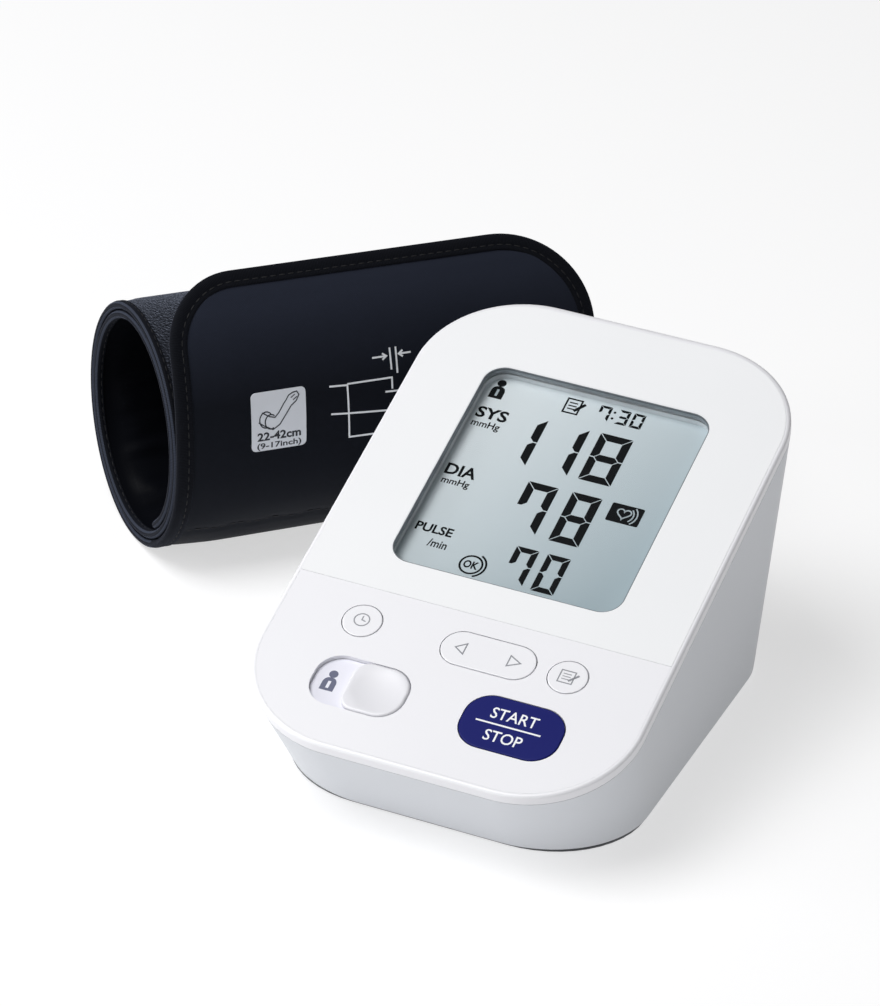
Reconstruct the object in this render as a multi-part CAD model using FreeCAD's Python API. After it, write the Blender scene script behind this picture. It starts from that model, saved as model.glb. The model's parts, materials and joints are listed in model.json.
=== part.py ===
import FreeCAD, Part
import math
import os

V = FreeCAD.Vector

# Monitor case: x is right, y is back, z is up, the top face slopes up to the back
CASE_W = 105.0
CASE_L = 152.0
FRONT_H = 27.65
BACK_H = 85.0
TOP_R = 29.6
SIDE_DRAFT = 3.3
FRONT_DRAFT = 19.3
BACK_DRAFT = 2.0
BASE_R_FRONT = 29.5
BASE_R_BACK = 26.0
BASE_ROUND = 1.2
FOOT_H = 0.5
FOOT_R = 5.0
FOOT_IN = 9.7
FOOT_FROM_FRONT = 22.7
FOOT_FROM_BACK = 44.0
FLOOR_T = 3.0
WALL = 2.0
WALL_FRONT = 3.0
SEAM = 3.0
GROOVE_H = 0.2
GROOVE_IN = 0.4
EDGE_ROUND = 0.9
BACK_ROUND = 2.8
RIM = 1.2
RIM_BACK = 3.0
PANEL_T = 1.6
PANEL_GAP = 0.04
DECK_T = 1.0
DECK_INSET = 4.4
CREASE = 52.15
CREASE_GAP = 0.06
DISPLAY_RAISE = 0.05
BACK_SHORT = 0.9

# Window and display, set in from the edges of the sloping top
WINDOW_SIDE = 20.4
WINDOW_FRONT = 63.0
WINDOW_BACK = 26.15
WINDOW_R = 6.0
LENS_T = 1.2
LENS_LAP = 2.0
GLASS_T = 1.8
GLASS_GAP = 0.4
GLASS_LAP = 3.0
FIT = 0.2
HOLDER_WALL = 3.0
HOLDER_WINDOW = 2.1
STRIP_W = 2.0
STRIP_OUT = 1.0
BOARD_DEPTH = 12.0
BOARD_T = 1.6
BOARD_EDGE = 3.0
BOARD_FRONT = 12.0
BOARD_BACK = 20.45

# Keys, placed by x and distance up the slope
KEY_GAP = 0.25
KEY_RISE = 0.15
KEY_DEPTH = 7.0
KEY_LIP = 1.0
KEY_LIP_T = 1.3
KEY_TRAVEL = 0.8
KEY_ROUND = 0.25
ROUND_KEY_R = 5.2
CLOCK_AT = (-29.1, 41.0)
MEMORY_AT = (27.8, 40.5)
ROCKER_AT = (6.0, 40.7)
ROCKER_L = 25.6
ROCKER_W = 11.0
ROCKER_REACH = 7.6
ROCKER_SWITCH = 7.7
START_AT = (20.5, 20.7)
START_L = 26.6
START_W = 16.9
START_R = 7.0
SLOT_AT = (-21.1, 20.9)
SLOT_L = 26.0
SLOT_W = 16.4
SLOT_R = 6.9
SLOT_DEPTH = 1.3
KNOB_L = 16.0
KNOB_R = 4.2
KNOB_RISE = 0.3
KNOB_ROUND = 0.7
KNOB_DISH = 0.6
KNOB_DISH_R = 40.0
PLATE_T = 1.2
PLATE_LAP = 4.0
STEM_ASIDE = 3.2
STEM_L = 4.0
STEM_W = 2.4
STEM_R = 0.6
STEM_REACH = 2.8
STEM_FOOT_L = 8.0
STEM_FOOT_W = 6.0
STEM_FOOT_T = 1.5
SLIDE_SWITCH_L = 20.8
SLIDE_SWITCH_W = 4.8
PIN_R = 1.0
PIN_GAP = 0.05
LUG_T = 2.0
LUG_W = 5.0
SWITCH_SIDE = 6.0
PLUNGER_R = 1.7
PLUNGER_H = 0.8
SWITCH_GAP = 0.2

# Posts, bosses and screws
POST_R = 2.5
POST_GAP = 0.4
POST_FROM_BACK = 44.5
POST_TO_BOSS = 3.5
POST_KEY_V = 15.0
SCREW_R = 1.0
SCREW_BITE = 6.5
SCREW_HEAD_R = 2.2
SCREW_HEAD_T = 1.6
BOSS_R = 4.0
BOSS_TOP = 20.0
BOSS_FRONT_IN = 9.2
BOSS_FROM_FRONT = 32.7
BOSS_BACK_IN = 6.4
BOSS_GAP = 0.5
BOSS_CLEAR = 0.6
CASE_SCREW_R = 1.5
CASE_SCREW_BITE = 8.0
CASE_BORE = 9.0
CASE_HEAD_R = 3.0
CASE_HEAD_T = 2.2
CASE_HEAD_Z = 7.0

# Battery bay
CELL_R = 7.1
CELL_L = 49.3
NUB_R = 2.7
NUB_L = 1.2
CELL_GAP = 0.4
CELL_COUNT = 4
CELL_LIFT = 0.4
BAY_FROM_BACK = 9.5
BAY_END_ROOM = 0.3
SPRING_L = 5.0
SPRING_WIDE_R = 5.0
SPRING_SLIM_R = 2.5
TAB_T = 1.0
TAB_W = 9.0
BOX_WALL = 1.0
BOX_HEAD = 0.8
COVER_T = 1.6
COVER_GAP = 0.2
COVER_LAP = 1.5
COVER_LEAN = 1.0
GRIP_W = 14.0
GRIP_FROM_BACK = 12.0
GRIP_L = 1.0
GRIP_DEEP = 0.6

# Air line inside the case
PUMP_FROM_BACK = 32.0
MOTOR_R = 9.5
MOTOR_L = 28.0
MOTOR_CLEAR = 3.5
SLEEVE_WALL = 2.0
SLEEVE_L = 20.0
SLEEVE_IN = 4.0
HEAD_R = 10.5
HEAD_L = 14.0
NIPPLE_R = 2.0
NIPPLE_L = 3.2
NIPPLE_SHORT = 2.2
NIPPLE_ROOT = 1.0
NIPPLE_BORE = 0.9
BORE_DEEP = 7.0
TUBE_WALL = 1.4
TUBE_CLEAR = 0.3
TUBE_BEND = 8.0
LINE_GAP = 7.0
BLOCK_W = 8.0
BLOCK_D = 12.0
BLOCK_H = 16.0
VALVE_W = 14.0
VALVE_D = 14.0
VALVE_GAP = 6.0
SENSOR_SIDE = 12.0
SENSOR_R = 1.0
SENSOR_T = 5.0
BUZZER_IN = 14.0
BUZZER_V = 64.0
BUZZER_R = 6.0
BUZZER_T = 5.0
JACK_R = 6.0
JACK_BORE_R = 3.0
JACK_BORE_L = 10.0
JACK_L = 13.0
JACK_OUT = 0.6
JACK_FLANGE_R = 8.0
JACK_FLANGE_T = 2.0
JACK_FIT = 0.2
JACK_GAP = 2.0
SEAT_GAP = 0.8
POWER_CLEAR = 5.2
POWER_Z = 30.0
POWER_R = 5.5
POWER_BORE_R = 2.8
POWER_L = 13.0
POWER_BORE_L = 10.0

# Arm cuff: a wound sleeve that lies behind the monitor on the left
CUFF_CLEAR = 11.95
CUFF_LEFT = 80.44
CUFF_TURN = 46.6
CUFF_W = 125.0
CUFF_R = 33.9
TURN_GAP = 0.4
CLOTH_T = 0.6
CURLER_T = 0.5
BLADDER_T = 0.6
LINER_T = 0.5
FLAP_R = 82.9
FLAP_ANGLE = 38.5
TAIL_ANGLE = 60.0
FLAP_CORNER_LEFT = 20.0
FLAP_CORNER_RIGHT = 28.0
EDGING_W = 5.0
INNER_GAP = 1.0
LABEL_S = 20.9
LABEL_W = 16.1
LABEL_ANGLES = (3.9, 15.4)
LABEL_T = 0.3
HOOK_IN = 18.0
HOOK_ANGLES = (17.0, 34.0)
HOOK_T = 0.8
PORT_IN = 25.0
PORT_R = 3.0
PORT_BORE_R = 1.6
PORT_FLANGE_R = 7.0
PORT_FLANGE_T = 2.0
PORT_OUT = 10.0

TILT = math.atan2(BACK_H - FRONT_H, CASE_L)
SLOPE = CASE_L / math.cos(TILT) - BACK_SHORT
BASE_W = CASE_W - 2 * SIDE_DRAFT
BASE_FRONT = -CASE_L / 2 + FRONT_DRAFT
BASE_BACK = CASE_L / 2 - BACK_DRAFT
FLOOR_TOP = FOOT_H + FLOOR_T
DECK_UNDER = -(SEAM + DECK_T)
WINDOW_W = CASE_W - 2 * WINDOW_SIDE
WINDOW_H = SLOPE - WINDOW_FRONT - WINDOW_BACK
HOLDER_LAP = GLASS_LAP + HOLDER_WALL
BOARD_TOP = -BOARD_DEPTH
BOARD_UNDER = BOARD_TOP - BOARD_T
POST_X = WINDOW_W / 2 + HOLDER_LAP + POST_GAP + POST_R
POST_FRONT_V = WINDOW_FRONT - HOLDER_LAP - POST_GAP - POST_R
BOARD_HALF_W = POST_X + BOARD_EDGE
BOARD_R = TOP_R - CASE_W / 2 + BOARD_HALF_W
CELL_PITCH = 2 * CELL_R + CELL_GAP
BAY_LEN = SPRING_L + NUB_L + CELL_L + TAB_T + 2 * BAY_END_ROOM
BAY_DEPTH = CELL_PITCH * (CELL_COUNT - 1) + 2 * CELL_R + 2 * BAY_END_ROOM
BAY_BACK = BASE_BACK - BAY_FROM_BACK
BAY_FRONT = BAY_BACK - BAY_DEPTH
COVER_TOP = FOOT_H + COVER_T
CELL_Z = COVER_TOP + CELL_LIFT + CELL_R
BAY_CEILING = CELL_Z + CELL_R + BOX_HEAD
BOX_TOP = BAY_CEILING + BOX_WALL
PUMP_Y = BASE_BACK - PUMP_FROM_BACK
PUMP_Z = BOX_TOP + SLEEVE_WALL + MOTOR_R
TUBE_R = NIPPLE_R + TUBE_WALL
FEET = (
    (BASE_W / 2 - FOOT_IN, BASE_FRONT + FOOT_FROM_FRONT),
    (BASE_W / 2 - FOOT_IN, BASE_BACK - FOOT_FROM_BACK),
)
BOSS_Y = PUMP_Y - MOTOR_R - SLEEVE_WALL - BOSS_R - BOSS_GAP
BOSSES = (
    (BASE_W / 2 - BOSS_FRONT_IN, BASE_FRONT + BOSS_FROM_FRONT),
    (BASE_W / 2 - BOSS_BACK_IN, BOSS_Y),
)
JACK_Y = BOSS_Y - BOSS_R - JACK_FLANGE_R - JACK_GAP
CUFF_T = CLOTH_T + CURLER_T + BLADDER_T + LINER_T
CUFF_PITCH = CUFF_T + TURN_GAP
CUFF_OUT = CUFF_R + CUFF_T / 2
CUFF_Z = CUFF_OUT
CUFF_DIR = math.radians(CUFF_TURN)

# The roll passes the rounded back corner of the case at the clearance
CORNER_CUT = TOP_R * (math.sin(CUFF_DIR) + math.cos(CUFF_DIR) - 1)
CUFF_ASIDE = CUFF_OUT + CUFF_CLEAR - CORNER_CUT
CUFF_X = -CASE_W / 2 - CUFF_ASIDE * math.sin(CUFF_DIR) - CUFF_LEFT * math.cos(CUFF_DIR)
CUFF_Y = CASE_L / 2 + CUFF_ASIDE * math.cos(CUFF_DIR) - CUFF_LEFT * math.sin(CUFF_DIR)
PORT_S = CUFF_W - PORT_IN

# The origin is the middle of the set's footprint on the table
SET_LEFT = CUFF_X - CUFF_OUT * math.sin(CUFF_DIR)
SET_BACK = CUFF_Y + CUFF_W * math.sin(CUFF_DIR) + CUFF_OUT * math.cos(CUFF_DIR)
SET_SHIFT = V(-(SET_LEFT + CASE_W / 2) / 2, -(SET_BACK - CASE_L / 2) / 2, 0)


def tilted(shape):
    """Lay a shape drawn as x, up the slope, out of the slope onto the top plane."""
    out = shape.copy()
    out.rotate(V(0, 0, 0), V(1, 0, 0), math.degrees(TILT))
    out.translate(V(0, -CASE_L / 2, FRONT_H))
    return out


def slope_place(y, z):
    """Distance up the slope and out of it for a point of the case."""
    dy = y + CASE_L / 2
    dz = z - FRONT_H
    up = dy * math.cos(TILT) + dz * math.sin(TILT)
    out = dz * math.cos(TILT) - dy * math.sin(TILT)
    return up, out


def outline(x0, x1, y0, y1, r_front, r_back, z):
    """Rounded rectangle as a wire, always drawn from the same corner."""
    k = math.sqrt(0.5)
    rf = r_front
    rb = r_back
    a = V(x0 + rf, y0, z)
    b = V(x1 - rf, y0, z)
    c = V(x1, y0 + rf, z)
    d = V(x1, y1 - rb, z)
    e = V(x1 - rb, y1, z)
    f = V(x0 + rb, y1, z)
    g = V(x0, y1 - rb, z)
    h = V(x0, y0 + rf, z)
    m1 = V(x1 - rf + rf * k, y0 + rf - rf * k, z)
    m2 = V(x1 - rb + rb * k, y1 - rb + rb * k, z)
    m3 = V(x0 + rb - rb * k, y1 - rb + rb * k, z)
    m4 = V(x0 + rf - rf * k, y0 + rf - rf * k, z)
    edges = [
        Part.makeLine(a, b),
        Part.Arc(b, m1, c).toShape(),
        Part.makeLine(c, d),
        Part.Arc(d, m2, e).toShape(),
        Part.makeLine(e, f),
        Part.Arc(f, m3, g).toShape(),
        Part.makeLine(g, h),
        Part.Arc(h, m4, a).toShape(),
    ]
    return Part.Wire(edges)


def slab(x0, x1, y0, y1, z0, z1, r_front, r_back=None):
    """Plate with rounded corners."""
    back = r_front if r_back is None else r_back
    face = Part.Face(outline(x0, x1, y0, y1, r_front, back, z0))
    return face.extrude(V(0, 0, z1 - z0))


def pad(at, length, width, r, z0, z1):
    """Rounded plate about a middle point."""
    return slab(
        at[0] - length / 2, at[0] + length / 2, at[1] - width / 2, at[1] + width / 2, z0, z1, r
    )


def block(x0, x1, y0, y1, z0, z1):
    return Part.makeBox(x1 - x0, y1 - y0, z1 - z0, V(x0, y0, z0))


def rod(r, start, end):
    line = end - start
    return Part.makeCylinder(r, line.Length, start, line)


def capsule(at, length, width, z0, z1):
    """Bar with round ends."""
    r = width / 2
    half = length / 2 - r
    body = block(at[0] - half, at[0] + half, at[1] - r, at[1] + r, z0, z1)
    left = rod(r, V(at[0] - half, at[1], z0), V(at[0] - half, at[1], z1))
    right = rod(r, V(at[0] + half, at[1], z0), V(at[0] + half, at[1], z1))
    return body.fuse([left, right]).removeSplitter()


def rounded_top(shape, r):
    """Round the edge of the highest flat face."""
    top = max(shape.Faces, key=lambda f: f.CenterOfMass.z)
    return shape.makeFillet(r, top.Edges)


def save(shape, name):
    out = shape.copy()
    out.translate(SET_SHIFT)
    out.exportStep("parts/" + name + ".step")


def both_sides(points):
    """The points and their mirror images across the middle."""
    return [(side * x, y) for x, y in points for side in (-1, 1)]


def board_posts():
    """Places of the posts that carry the board."""
    key_x = (SLOT_AT[0] + SLOT_L / 2 + START_AT[0] - START_L / 2) / 2
    back = (POST_X, SLOPE - POST_FROM_BACK)
    front = (BOSSES[0][0] - BOSS_R - POST_TO_BOSS - POST_R, POST_FRONT_V)
    return both_sides([back, front]) + [(key_x, POST_KEY_V)]


def case_solid():
    """Outside of the lower case: sloping outline above, smaller flat outline below."""
    top = outline(-CASE_W / 2, CASE_W / 2, 0, SLOPE, TOP_R, TOP_R, -SEAM)
    base = outline(
        -BASE_W / 2, BASE_W / 2, BASE_FRONT, BASE_BACK, BASE_R_FRONT, BASE_R_BACK, FOOT_H
    )
    solid = Part.makeLoft([tilted(top), base], True, True)
    low = [edge for edge in solid.Edges if edge.BoundBox.ZMax < FOOT_H + BASE_ROUND / 2]
    return solid.makeFillet(BASE_ROUND, low)


def case_hollow():
    """Inside of the lower case."""
    top = outline(
        -CASE_W / 2 + WALL, CASE_W / 2 - WALL, WALL_FRONT, SLOPE - WALL,
        TOP_R - WALL, TOP_R - WALL, -SEAM
    )
    base = outline(
        -BASE_W / 2 + WALL, BASE_W / 2 - WALL, BASE_FRONT, BASE_BACK - WALL,
        BASE_R_FRONT - WALL, BASE_R_BACK - WALL, FLOOR_TOP
    )
    return Part.makeLoft([tilted(top), base], True, True)


def cover_prism(gap, rise):
    """Dovetail strip under the battery bay, open to the back."""
    top = BAY_LEN / 2 + BOX_WALL + COVER_LAP - gap
    low = top - COVER_LEAN
    front = BAY_FRONT - BOX_WALL - COVER_LAP + gap
    z1 = FOOT_H + rise
    points = [V(-low, front, FOOT_H), V(low, front, FOOT_H), V(top, front, z1), V(-top, front, z1)]
    face = Part.Face(Part.makePolygon(points + points[:1]))
    return face.extrude(V(0, CASE_L / 2 - front, 0))


def wall_x(y, z):
    """Half width of the case outside at a point of its side."""
    top = FRONT_H + (y + CASE_L / 2) * math.tan(TILT) - SEAM
    share = (z - FOOT_H) / (top - FOOT_H)
    return BASE_W / 2 + (CASE_W - BASE_W) / 2 * share


JACK_END = -wall_x(JACK_Y, PUMP_Z) - JACK_OUT
POWER_END = BASE_BACK + BACK_DRAFT * POWER_Z / BACK_H + JACK_OUT
MOTOR_X = wall_x(PUMP_Y, PUMP_Z) - WALL - MOTOR_CLEAR - MOTOR_L
HEAD_X = MOTOR_X - HEAD_L
BLOCK_X = HEAD_X - LINE_GAP - BLOCK_W
POWER_X = BLOCK_X + BLOCK_W / 2 + VALVE_W / 2 + POWER_CLEAR + JACK_FLANGE_R


def make_lower_case():
    case = case_solid().cut(case_hollow()).cut(seam_groove())
    for x, y in both_sides(BOSSES):
        case = case.fuse(rod(BOSS_R, V(x, y, FLOOR_TOP - FLOOR_T / 2), V(x, y, BOSS_TOP)))
    for x, y in both_sides(BOSSES):
        head = rod(CASE_HEAD_R + FIT, V(x, y, 0), V(x, y, CASE_HEAD_Z + CASE_HEAD_T))
        bore = rod(CASE_SCREW_R + FIT, V(x, y, 0), V(x, y, BOSS_TOP + FIT))
        case = case.cut(head).cut(bore)
    case = case.cut(cover_prism(0, COVER_T + COVER_GAP))
    bay = block(-BAY_LEN / 2, BAY_LEN / 2, BAY_FRONT, BAY_BACK, 0, FLOOR_TOP + FIT)
    jack = rod(JACK_R + JACK_FIT, V(-CASE_W, JACK_Y, PUMP_Z), V(JACK_END + JACK_L, JACK_Y, PUMP_Z))
    power = rod(
        POWER_R + JACK_FIT, V(POWER_X, POWER_END - POWER_L, POWER_Z), V(POWER_X, CASE_L, POWER_Z)
    )
    return case.cut([bay, jack, power]).removeSplitter()


def key_openings(z0, z1):
    """Holes for the keys and the slider."""
    holes = []
    for at in (CLOCK_AT, MEMORY_AT):
        holes.append(rod(ROUND_KEY_R + KEY_GAP, V(at[0], at[1], z0), V(at[0], at[1], z1)))
    grow = 2 * KEY_GAP
    holes.append(capsule(ROCKER_AT, ROCKER_L + grow, ROCKER_W + grow, z0, z1))
    holes.append(pad(START_AT, START_L + grow, START_W + grow, START_R + KEY_GAP, z0, z1))
    holes.append(pad(SLOT_AT, SLOT_L, SLOT_W, SLOT_R, z0, z1))
    return holes


def window_slab(lap, z0, z1):
    """Rectangle round the window, larger by the lap on every side."""
    return slab(
        -WINDOW_W / 2 - lap, WINDOW_W / 2 + lap, WINDOW_FRONT - lap,
        WINDOW_FRONT + WINDOW_H + lap, z0, z1, WINDOW_R
    )


def seam_groove():
    """Shadow groove that runs round the lower case just under the seam."""
    side = CASE_W / 2
    low = -SEAM - GROOVE_H
    ring = slab(-side - WALL, side + WALL, -WALL, SLOPE + WALL, low, -SEAM, TOP_R + WALL)
    core = slab(
        -side + GROOVE_IN, side - GROOVE_IN, GROOVE_IN, SLOPE - GROOVE_IN, low, -SEAM,
        TOP_R - GROOVE_IN
    )
    return tilted(ring.cut(core))


def rounded_rim(body):
    """Round the top edge: fine at the front and sides, growing round the corners to the back."""
    doc = FreeCAD.newDocument("rim")
    base = doc.addObject("Part::Feature", "base")
    base.Shape = body
    top = max(base.Shape.Faces, key=lambda face: face.CenterOfMass.z)
    table = []
    for number, edge in enumerate(base.Shape.Edges, 1):
        if any(edge.isSame(other) for other in top.Edges):
            ends = (edge.firstVertex(), edge.lastVertex())
            radii = [BACK_ROUND if end.Point.y > SLOPE - TOP_R / 2 else EDGE_ROUND for end in ends]
            table.append((number, radii[0], radii[1]))
    rim = doc.addObject("Part::Fillet", "rim")
    rim.Base = base
    rim.Edges = table
    doc.recompute()
    out = rim.Shape.copy()
    FreeCAD.closeDocument(doc.Name)
    return out


def make_upper_case():
    body = slab(-CASE_W / 2, CASE_W / 2, 0, SLOPE, -SEAM, 0, TOP_R)
    body = rounded_rim(body)
    pocket = slab(
        -CASE_W / 2 + RIM, CASE_W / 2 - RIM, RIM, SLOPE - RIM_BACK, -PANEL_T, SEAM,
        TOP_R - RIM, TOP_R - RIM_BACK
    )
    low = TOP_R - DECK_INSET
    deck = slab(
        -CASE_W / 2 + DECK_INSET, CASE_W / 2 - DECK_INSET, DECK_INSET, SLOPE - DECK_INSET,
        DECK_UNDER, -SEAM, low
    )
    body = body.cut(pocket).fuse(deck)
    for x, v in board_posts():
        body = body.fuse(rod(POST_R, V(x, v, BOARD_TOP), V(x, v, -SEAM)))
        body = body.cut(rod(SCREW_R, V(x, v, BOARD_TOP), V(x, v, BOARD_TOP + SCREW_BITE)))
    reach = ROCKER_W / 2 + KEY_GAP + FIT
    for side in (-1, 1):
        v0 = ROCKER_AT[1] + side * reach
        v1 = v0 + side * LUG_T
        lug = block(
            ROCKER_AT[0] - LUG_W / 2, ROCKER_AT[0] + LUG_W / 2, min(v0, v1), max(v0, v1),
            -ROCKER_REACH - PIN_R, -SEAM
        )
        body = body.fuse(lug)
    far = reach + 2 * LUG_T
    pivot = -ROCKER_REACH + PIN_R + KEY_GAP
    hole = rod(
        PIN_R + PIN_GAP, V(ROCKER_AT[0], ROCKER_AT[1] - far, pivot),
        V(ROCKER_AT[0], ROCKER_AT[1] + far, pivot)
    )
    body = body.cut(hole)
    body = body.cut(key_openings(DECK_UNDER, SEAM))
    body = body.cut(window_slab(LENS_LAP + FIT, DECK_UNDER - FIT, SEAM))
    body = tilted(body)
    below = tilted(block(-CASE_W, CASE_W, -CASE_L, 2 * CASE_L, -CASE_L, -SEAM))
    for x, y in both_sides(BOSSES):
        boss = rod(BOSS_R, V(x, y, BOSS_TOP), V(x, y, BACK_H)).common(below)
        body = body.fuse(boss)
        body = body.cut(rod(CASE_SCREW_R, V(x, y, BOSS_TOP), V(x, y, BOSS_TOP + CASE_BORE)))
    return body.removeSplitter()


def panel_sheet(v0, v1, top):
    """Strip of the sheet that fills the rim."""
    gap = RIM + PANEL_GAP
    back = RIM_BACK + PANEL_GAP
    sheet = slab(
        -CASE_W / 2 + gap, CASE_W / 2 - gap, gap, SLOPE - back, -PANEL_T, top, TOP_R - gap, TOP_R - back
    )
    return sheet.common(block(-CASE_W, CASE_W, v0, v1, -SEAM, SEAM))


def make_display_panel():
    sheet = panel_sheet(CREASE + CREASE_GAP / 2, 2 * SLOPE, DISPLAY_RAISE)
    return tilted(sheet.cut(window_slab(0, -SEAM, SEAM)))


def make_key_panel():
    sheet = panel_sheet(0, CREASE - CREASE_GAP / 2, 0)
    return tilted(sheet.cut(key_openings(-SEAM, SEAM)))


def make_window_lens():
    return tilted(window_slab(LENS_LAP, -PANEL_T - LENS_T, -PANEL_T))


def key_lip(top_shape_maker):
    """Retaining lip under the deck for one key."""
    high = DECK_UNDER - KEY_GAP
    return top_shape_maker(KEY_LIP, high - KEY_LIP_T, high)


def make_round_key(at):
    def disc(grow, z0, z1):
        return rod(ROUND_KEY_R + grow, V(at[0], at[1], z0), V(at[0], at[1], z1))
    key = rounded_top(disc(0, -KEY_DEPTH, KEY_RISE), KEY_ROUND)
    return tilted(key.fuse(key_lip(disc)))


def make_start_button():
    def plate(grow, z0, z1):
        return pad(START_AT, START_L + 2 * grow, START_W + 2 * grow, START_R + grow, z0, z1)
    key = rounded_top(plate(0, -KEY_DEPTH, KEY_RISE), KEY_ROUND)
    return tilted(key.fuse(key_lip(plate)))


def make_arrow_rocker():
    key = rounded_top(capsule(ROCKER_AT, ROCKER_L, ROCKER_W, -ROCKER_REACH, KEY_RISE), KEY_ROUND)
    pivot = -ROCKER_REACH + PIN_R + KEY_GAP
    half = ROCKER_W / 2 + KEY_GAP + FIT + LUG_T
    x, v = ROCKER_AT
    pin = rod(PIN_R, V(x, v - half, pivot), V(x, v + half, pivot))
    return tilted(key.fuse(pin))


KNOB_X = SLOT_AT[0] + SLOT_L / 2 - KEY_GAP - KNOB_L / 2
KNOB_TRAVEL = SLOT_L - KNOB_L - KEY_GAP - (SLOT_R - KNOB_R)
STEM_X = KNOB_X + STEM_ASIDE
STEM_TOP = DECK_UNDER - PLATE_T - FIT - KEY_GAP


def make_user_slider():
    low = -SLOT_DEPTH + FIT
    at = (KNOB_X, SLOT_AT[1])
    width = SLOT_W - 2 * KEY_GAP
    right = pad(at, KNOB_L, width, SLOT_R - KEY_GAP, low, KNOB_RISE)
    left = pad(at, KNOB_L, width, KNOB_R, low, KNOB_RISE)
    left = left.common(block(at[0] - CASE_W, at[0], 0, SLOPE, -SEAM, SEAM))
    knob = rounded_top(right.fuse(left).removeSplitter(), KNOB_ROUND)
    dish = Part.makeSphere(KNOB_DISH_R, V(at[0], at[1], KNOB_RISE + KNOB_DISH_R - KNOB_DISH))
    knob = knob.cut(dish)
    under = (STEM_X, SLOT_AT[1])
    stem = pad(under, STEM_L, STEM_W, STEM_R, STEM_TOP - STEM_REACH, low)
    foot = pad(under, STEM_FOOT_L, STEM_FOOT_W, STEM_R, STEM_TOP - STEM_FOOT_T, STEM_TOP)
    return tilted(knob.fuse([stem, foot]))


def make_slider_plate():
    """Floor of the slot, held under the deck by its flange."""
    flange = pad(
        SLOT_AT, SLOT_L + 2 * PLATE_LAP, SLOT_W + PLATE_LAP, SLOT_R, DECK_UNDER - PLATE_T, DECK_UNDER
    )
    floor = pad(SLOT_AT, SLOT_L - FIT, SLOT_W - FIT, SLOT_R - FIT / 2, DECK_UNDER, -SLOT_DEPTH)
    plate = flange.fuse(floor)
    slot = pad(
        (STEM_X - KNOB_TRAVEL / 2, SLOT_AT[1]), STEM_L + KNOB_TRAVEL + 2 * KEY_GAP,
        STEM_W + 2 * KEY_GAP, STEM_R, DECK_UNDER - SEAM, 0
    )
    return tilted(plate.cut(slot))


GLASS_TOP = DECK_UNDER - GLASS_GAP
GLASS_UNDER = GLASS_TOP - GLASS_T


def make_lcd_glass():
    return tilted(window_slab(GLASS_LAP, GLASS_UNDER, GLASS_TOP))


def strip_slab(grow, z0, z1, side):
    """Contact strip along the front or back edge of the glass."""
    middle = WINDOW_FRONT + WINDOW_H / 2
    v = middle + side * (WINDOW_H / 2 + STRIP_OUT)
    half = WINDOW_W / 2 - GLASS_LAP
    return block(-half - grow, half + grow, v - STRIP_W / 2 - grow, v + STRIP_W / 2 + grow, z0, z1)


def make_lcd_holder():
    frame = window_slab(HOLDER_LAP, BOARD_TOP, DECK_UNDER)
    frame = frame.cut(window_slab(GLASS_LAP + FIT, GLASS_UNDER, 0))
    frame = frame.cut(window_slab(-HOLDER_WINDOW, BOARD_UNDER, 0))
    frame = frame.cut([strip_slab(FIT, BOARD_UNDER, 0, side) for side in (-1, 1)])
    return tilted(frame)


def make_contact_strips():
    strips = [strip_slab(0, BOARD_TOP, GLASS_UNDER, side) for side in (-1, 1)]
    return tilted(Part.makeCompound(strips))


def make_main_board():
    board = slab(
        -BOARD_HALF_W, BOARD_HALF_W, BOARD_FRONT, SLOPE - BOARD_BACK, BOARD_UNDER, BOARD_TOP, BOARD_R
    )
    for x, v in board_posts():
        board = board.cut(rod(SCREW_R + FIT, V(x, v, BOARD_UNDER - FIT), V(x, v, BOARD_TOP + FIT)))
    board = tilted(board)
    for x, y in both_sides(BOSSES):
        board = board.cut(rod(BOSS_R + BOSS_CLEAR, V(x, y, 0), V(x, y, BACK_H)))
    return board


def make_board_screws():
    screws = []
    for x, v in board_posts():
        head = rod(SCREW_HEAD_R, V(x, v, BOARD_UNDER - SCREW_HEAD_T), V(x, v, BOARD_UNDER))
        shaft = rod(SCREW_R, V(x, v, BOARD_UNDER), V(x, v, BOARD_TOP + SCREW_BITE - FIT))
        screws.append(head.fuse(shaft))
    return tilted(Part.makeCompound(screws))


def make_key_switches():
    reach = -KEY_DEPTH - KEY_TRAVEL - SWITCH_GAP
    rocker = -ROCKER_REACH - KEY_TRAVEL
    places = [CLOCK_AT + (reach,), MEMORY_AT + (reach,), START_AT + (reach,)]
    for side in (-1, 1):
        places.append((ROCKER_AT[0] + side * ROCKER_SWITCH, ROCKER_AT[1], rocker))
    half = SWITCH_SIDE / 2
    solids = []
    for x, v, top in places:
        base = block(x - half, x + half, v - half, v + half, BOARD_TOP, top - PLUNGER_H)
        plunger = rod(PLUNGER_R, V(x, v, top - PLUNGER_H), V(x, v, top))
        solids.append(base.fuse(plunger))
    return tilted(Part.makeCompound(solids))


def make_slide_switch():
    middle = (STEM_X - KNOB_TRAVEL / 2, SLOT_AT[1])
    top = STEM_TOP - STEM_REACH - KEY_GAP
    return tilted(pad(middle, SLIDE_SWITCH_L, SLIDE_SWITCH_W, STEM_R, BOARD_TOP, top))


def make_case_screws():
    screws = []
    for x, y in both_sides(BOSSES):
        low = V(x, y, CASE_HEAD_Z)
        mid = V(x, y, CASE_HEAD_Z + CASE_HEAD_T)
        end = V(x, y, BOSS_TOP + CASE_SCREW_BITE)
        screws.append(rod(CASE_HEAD_R, low, mid).fuse(rod(CASE_SCREW_R, mid, end)))
    return Part.makeCompound(screws)


def make_rubber_feet():
    feet = [rod(FOOT_R, V(x, y, 0), V(x, y, FOOT_H)) for x, y in both_sides(FEET)]
    return Part.makeCompound(feet)


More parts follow.
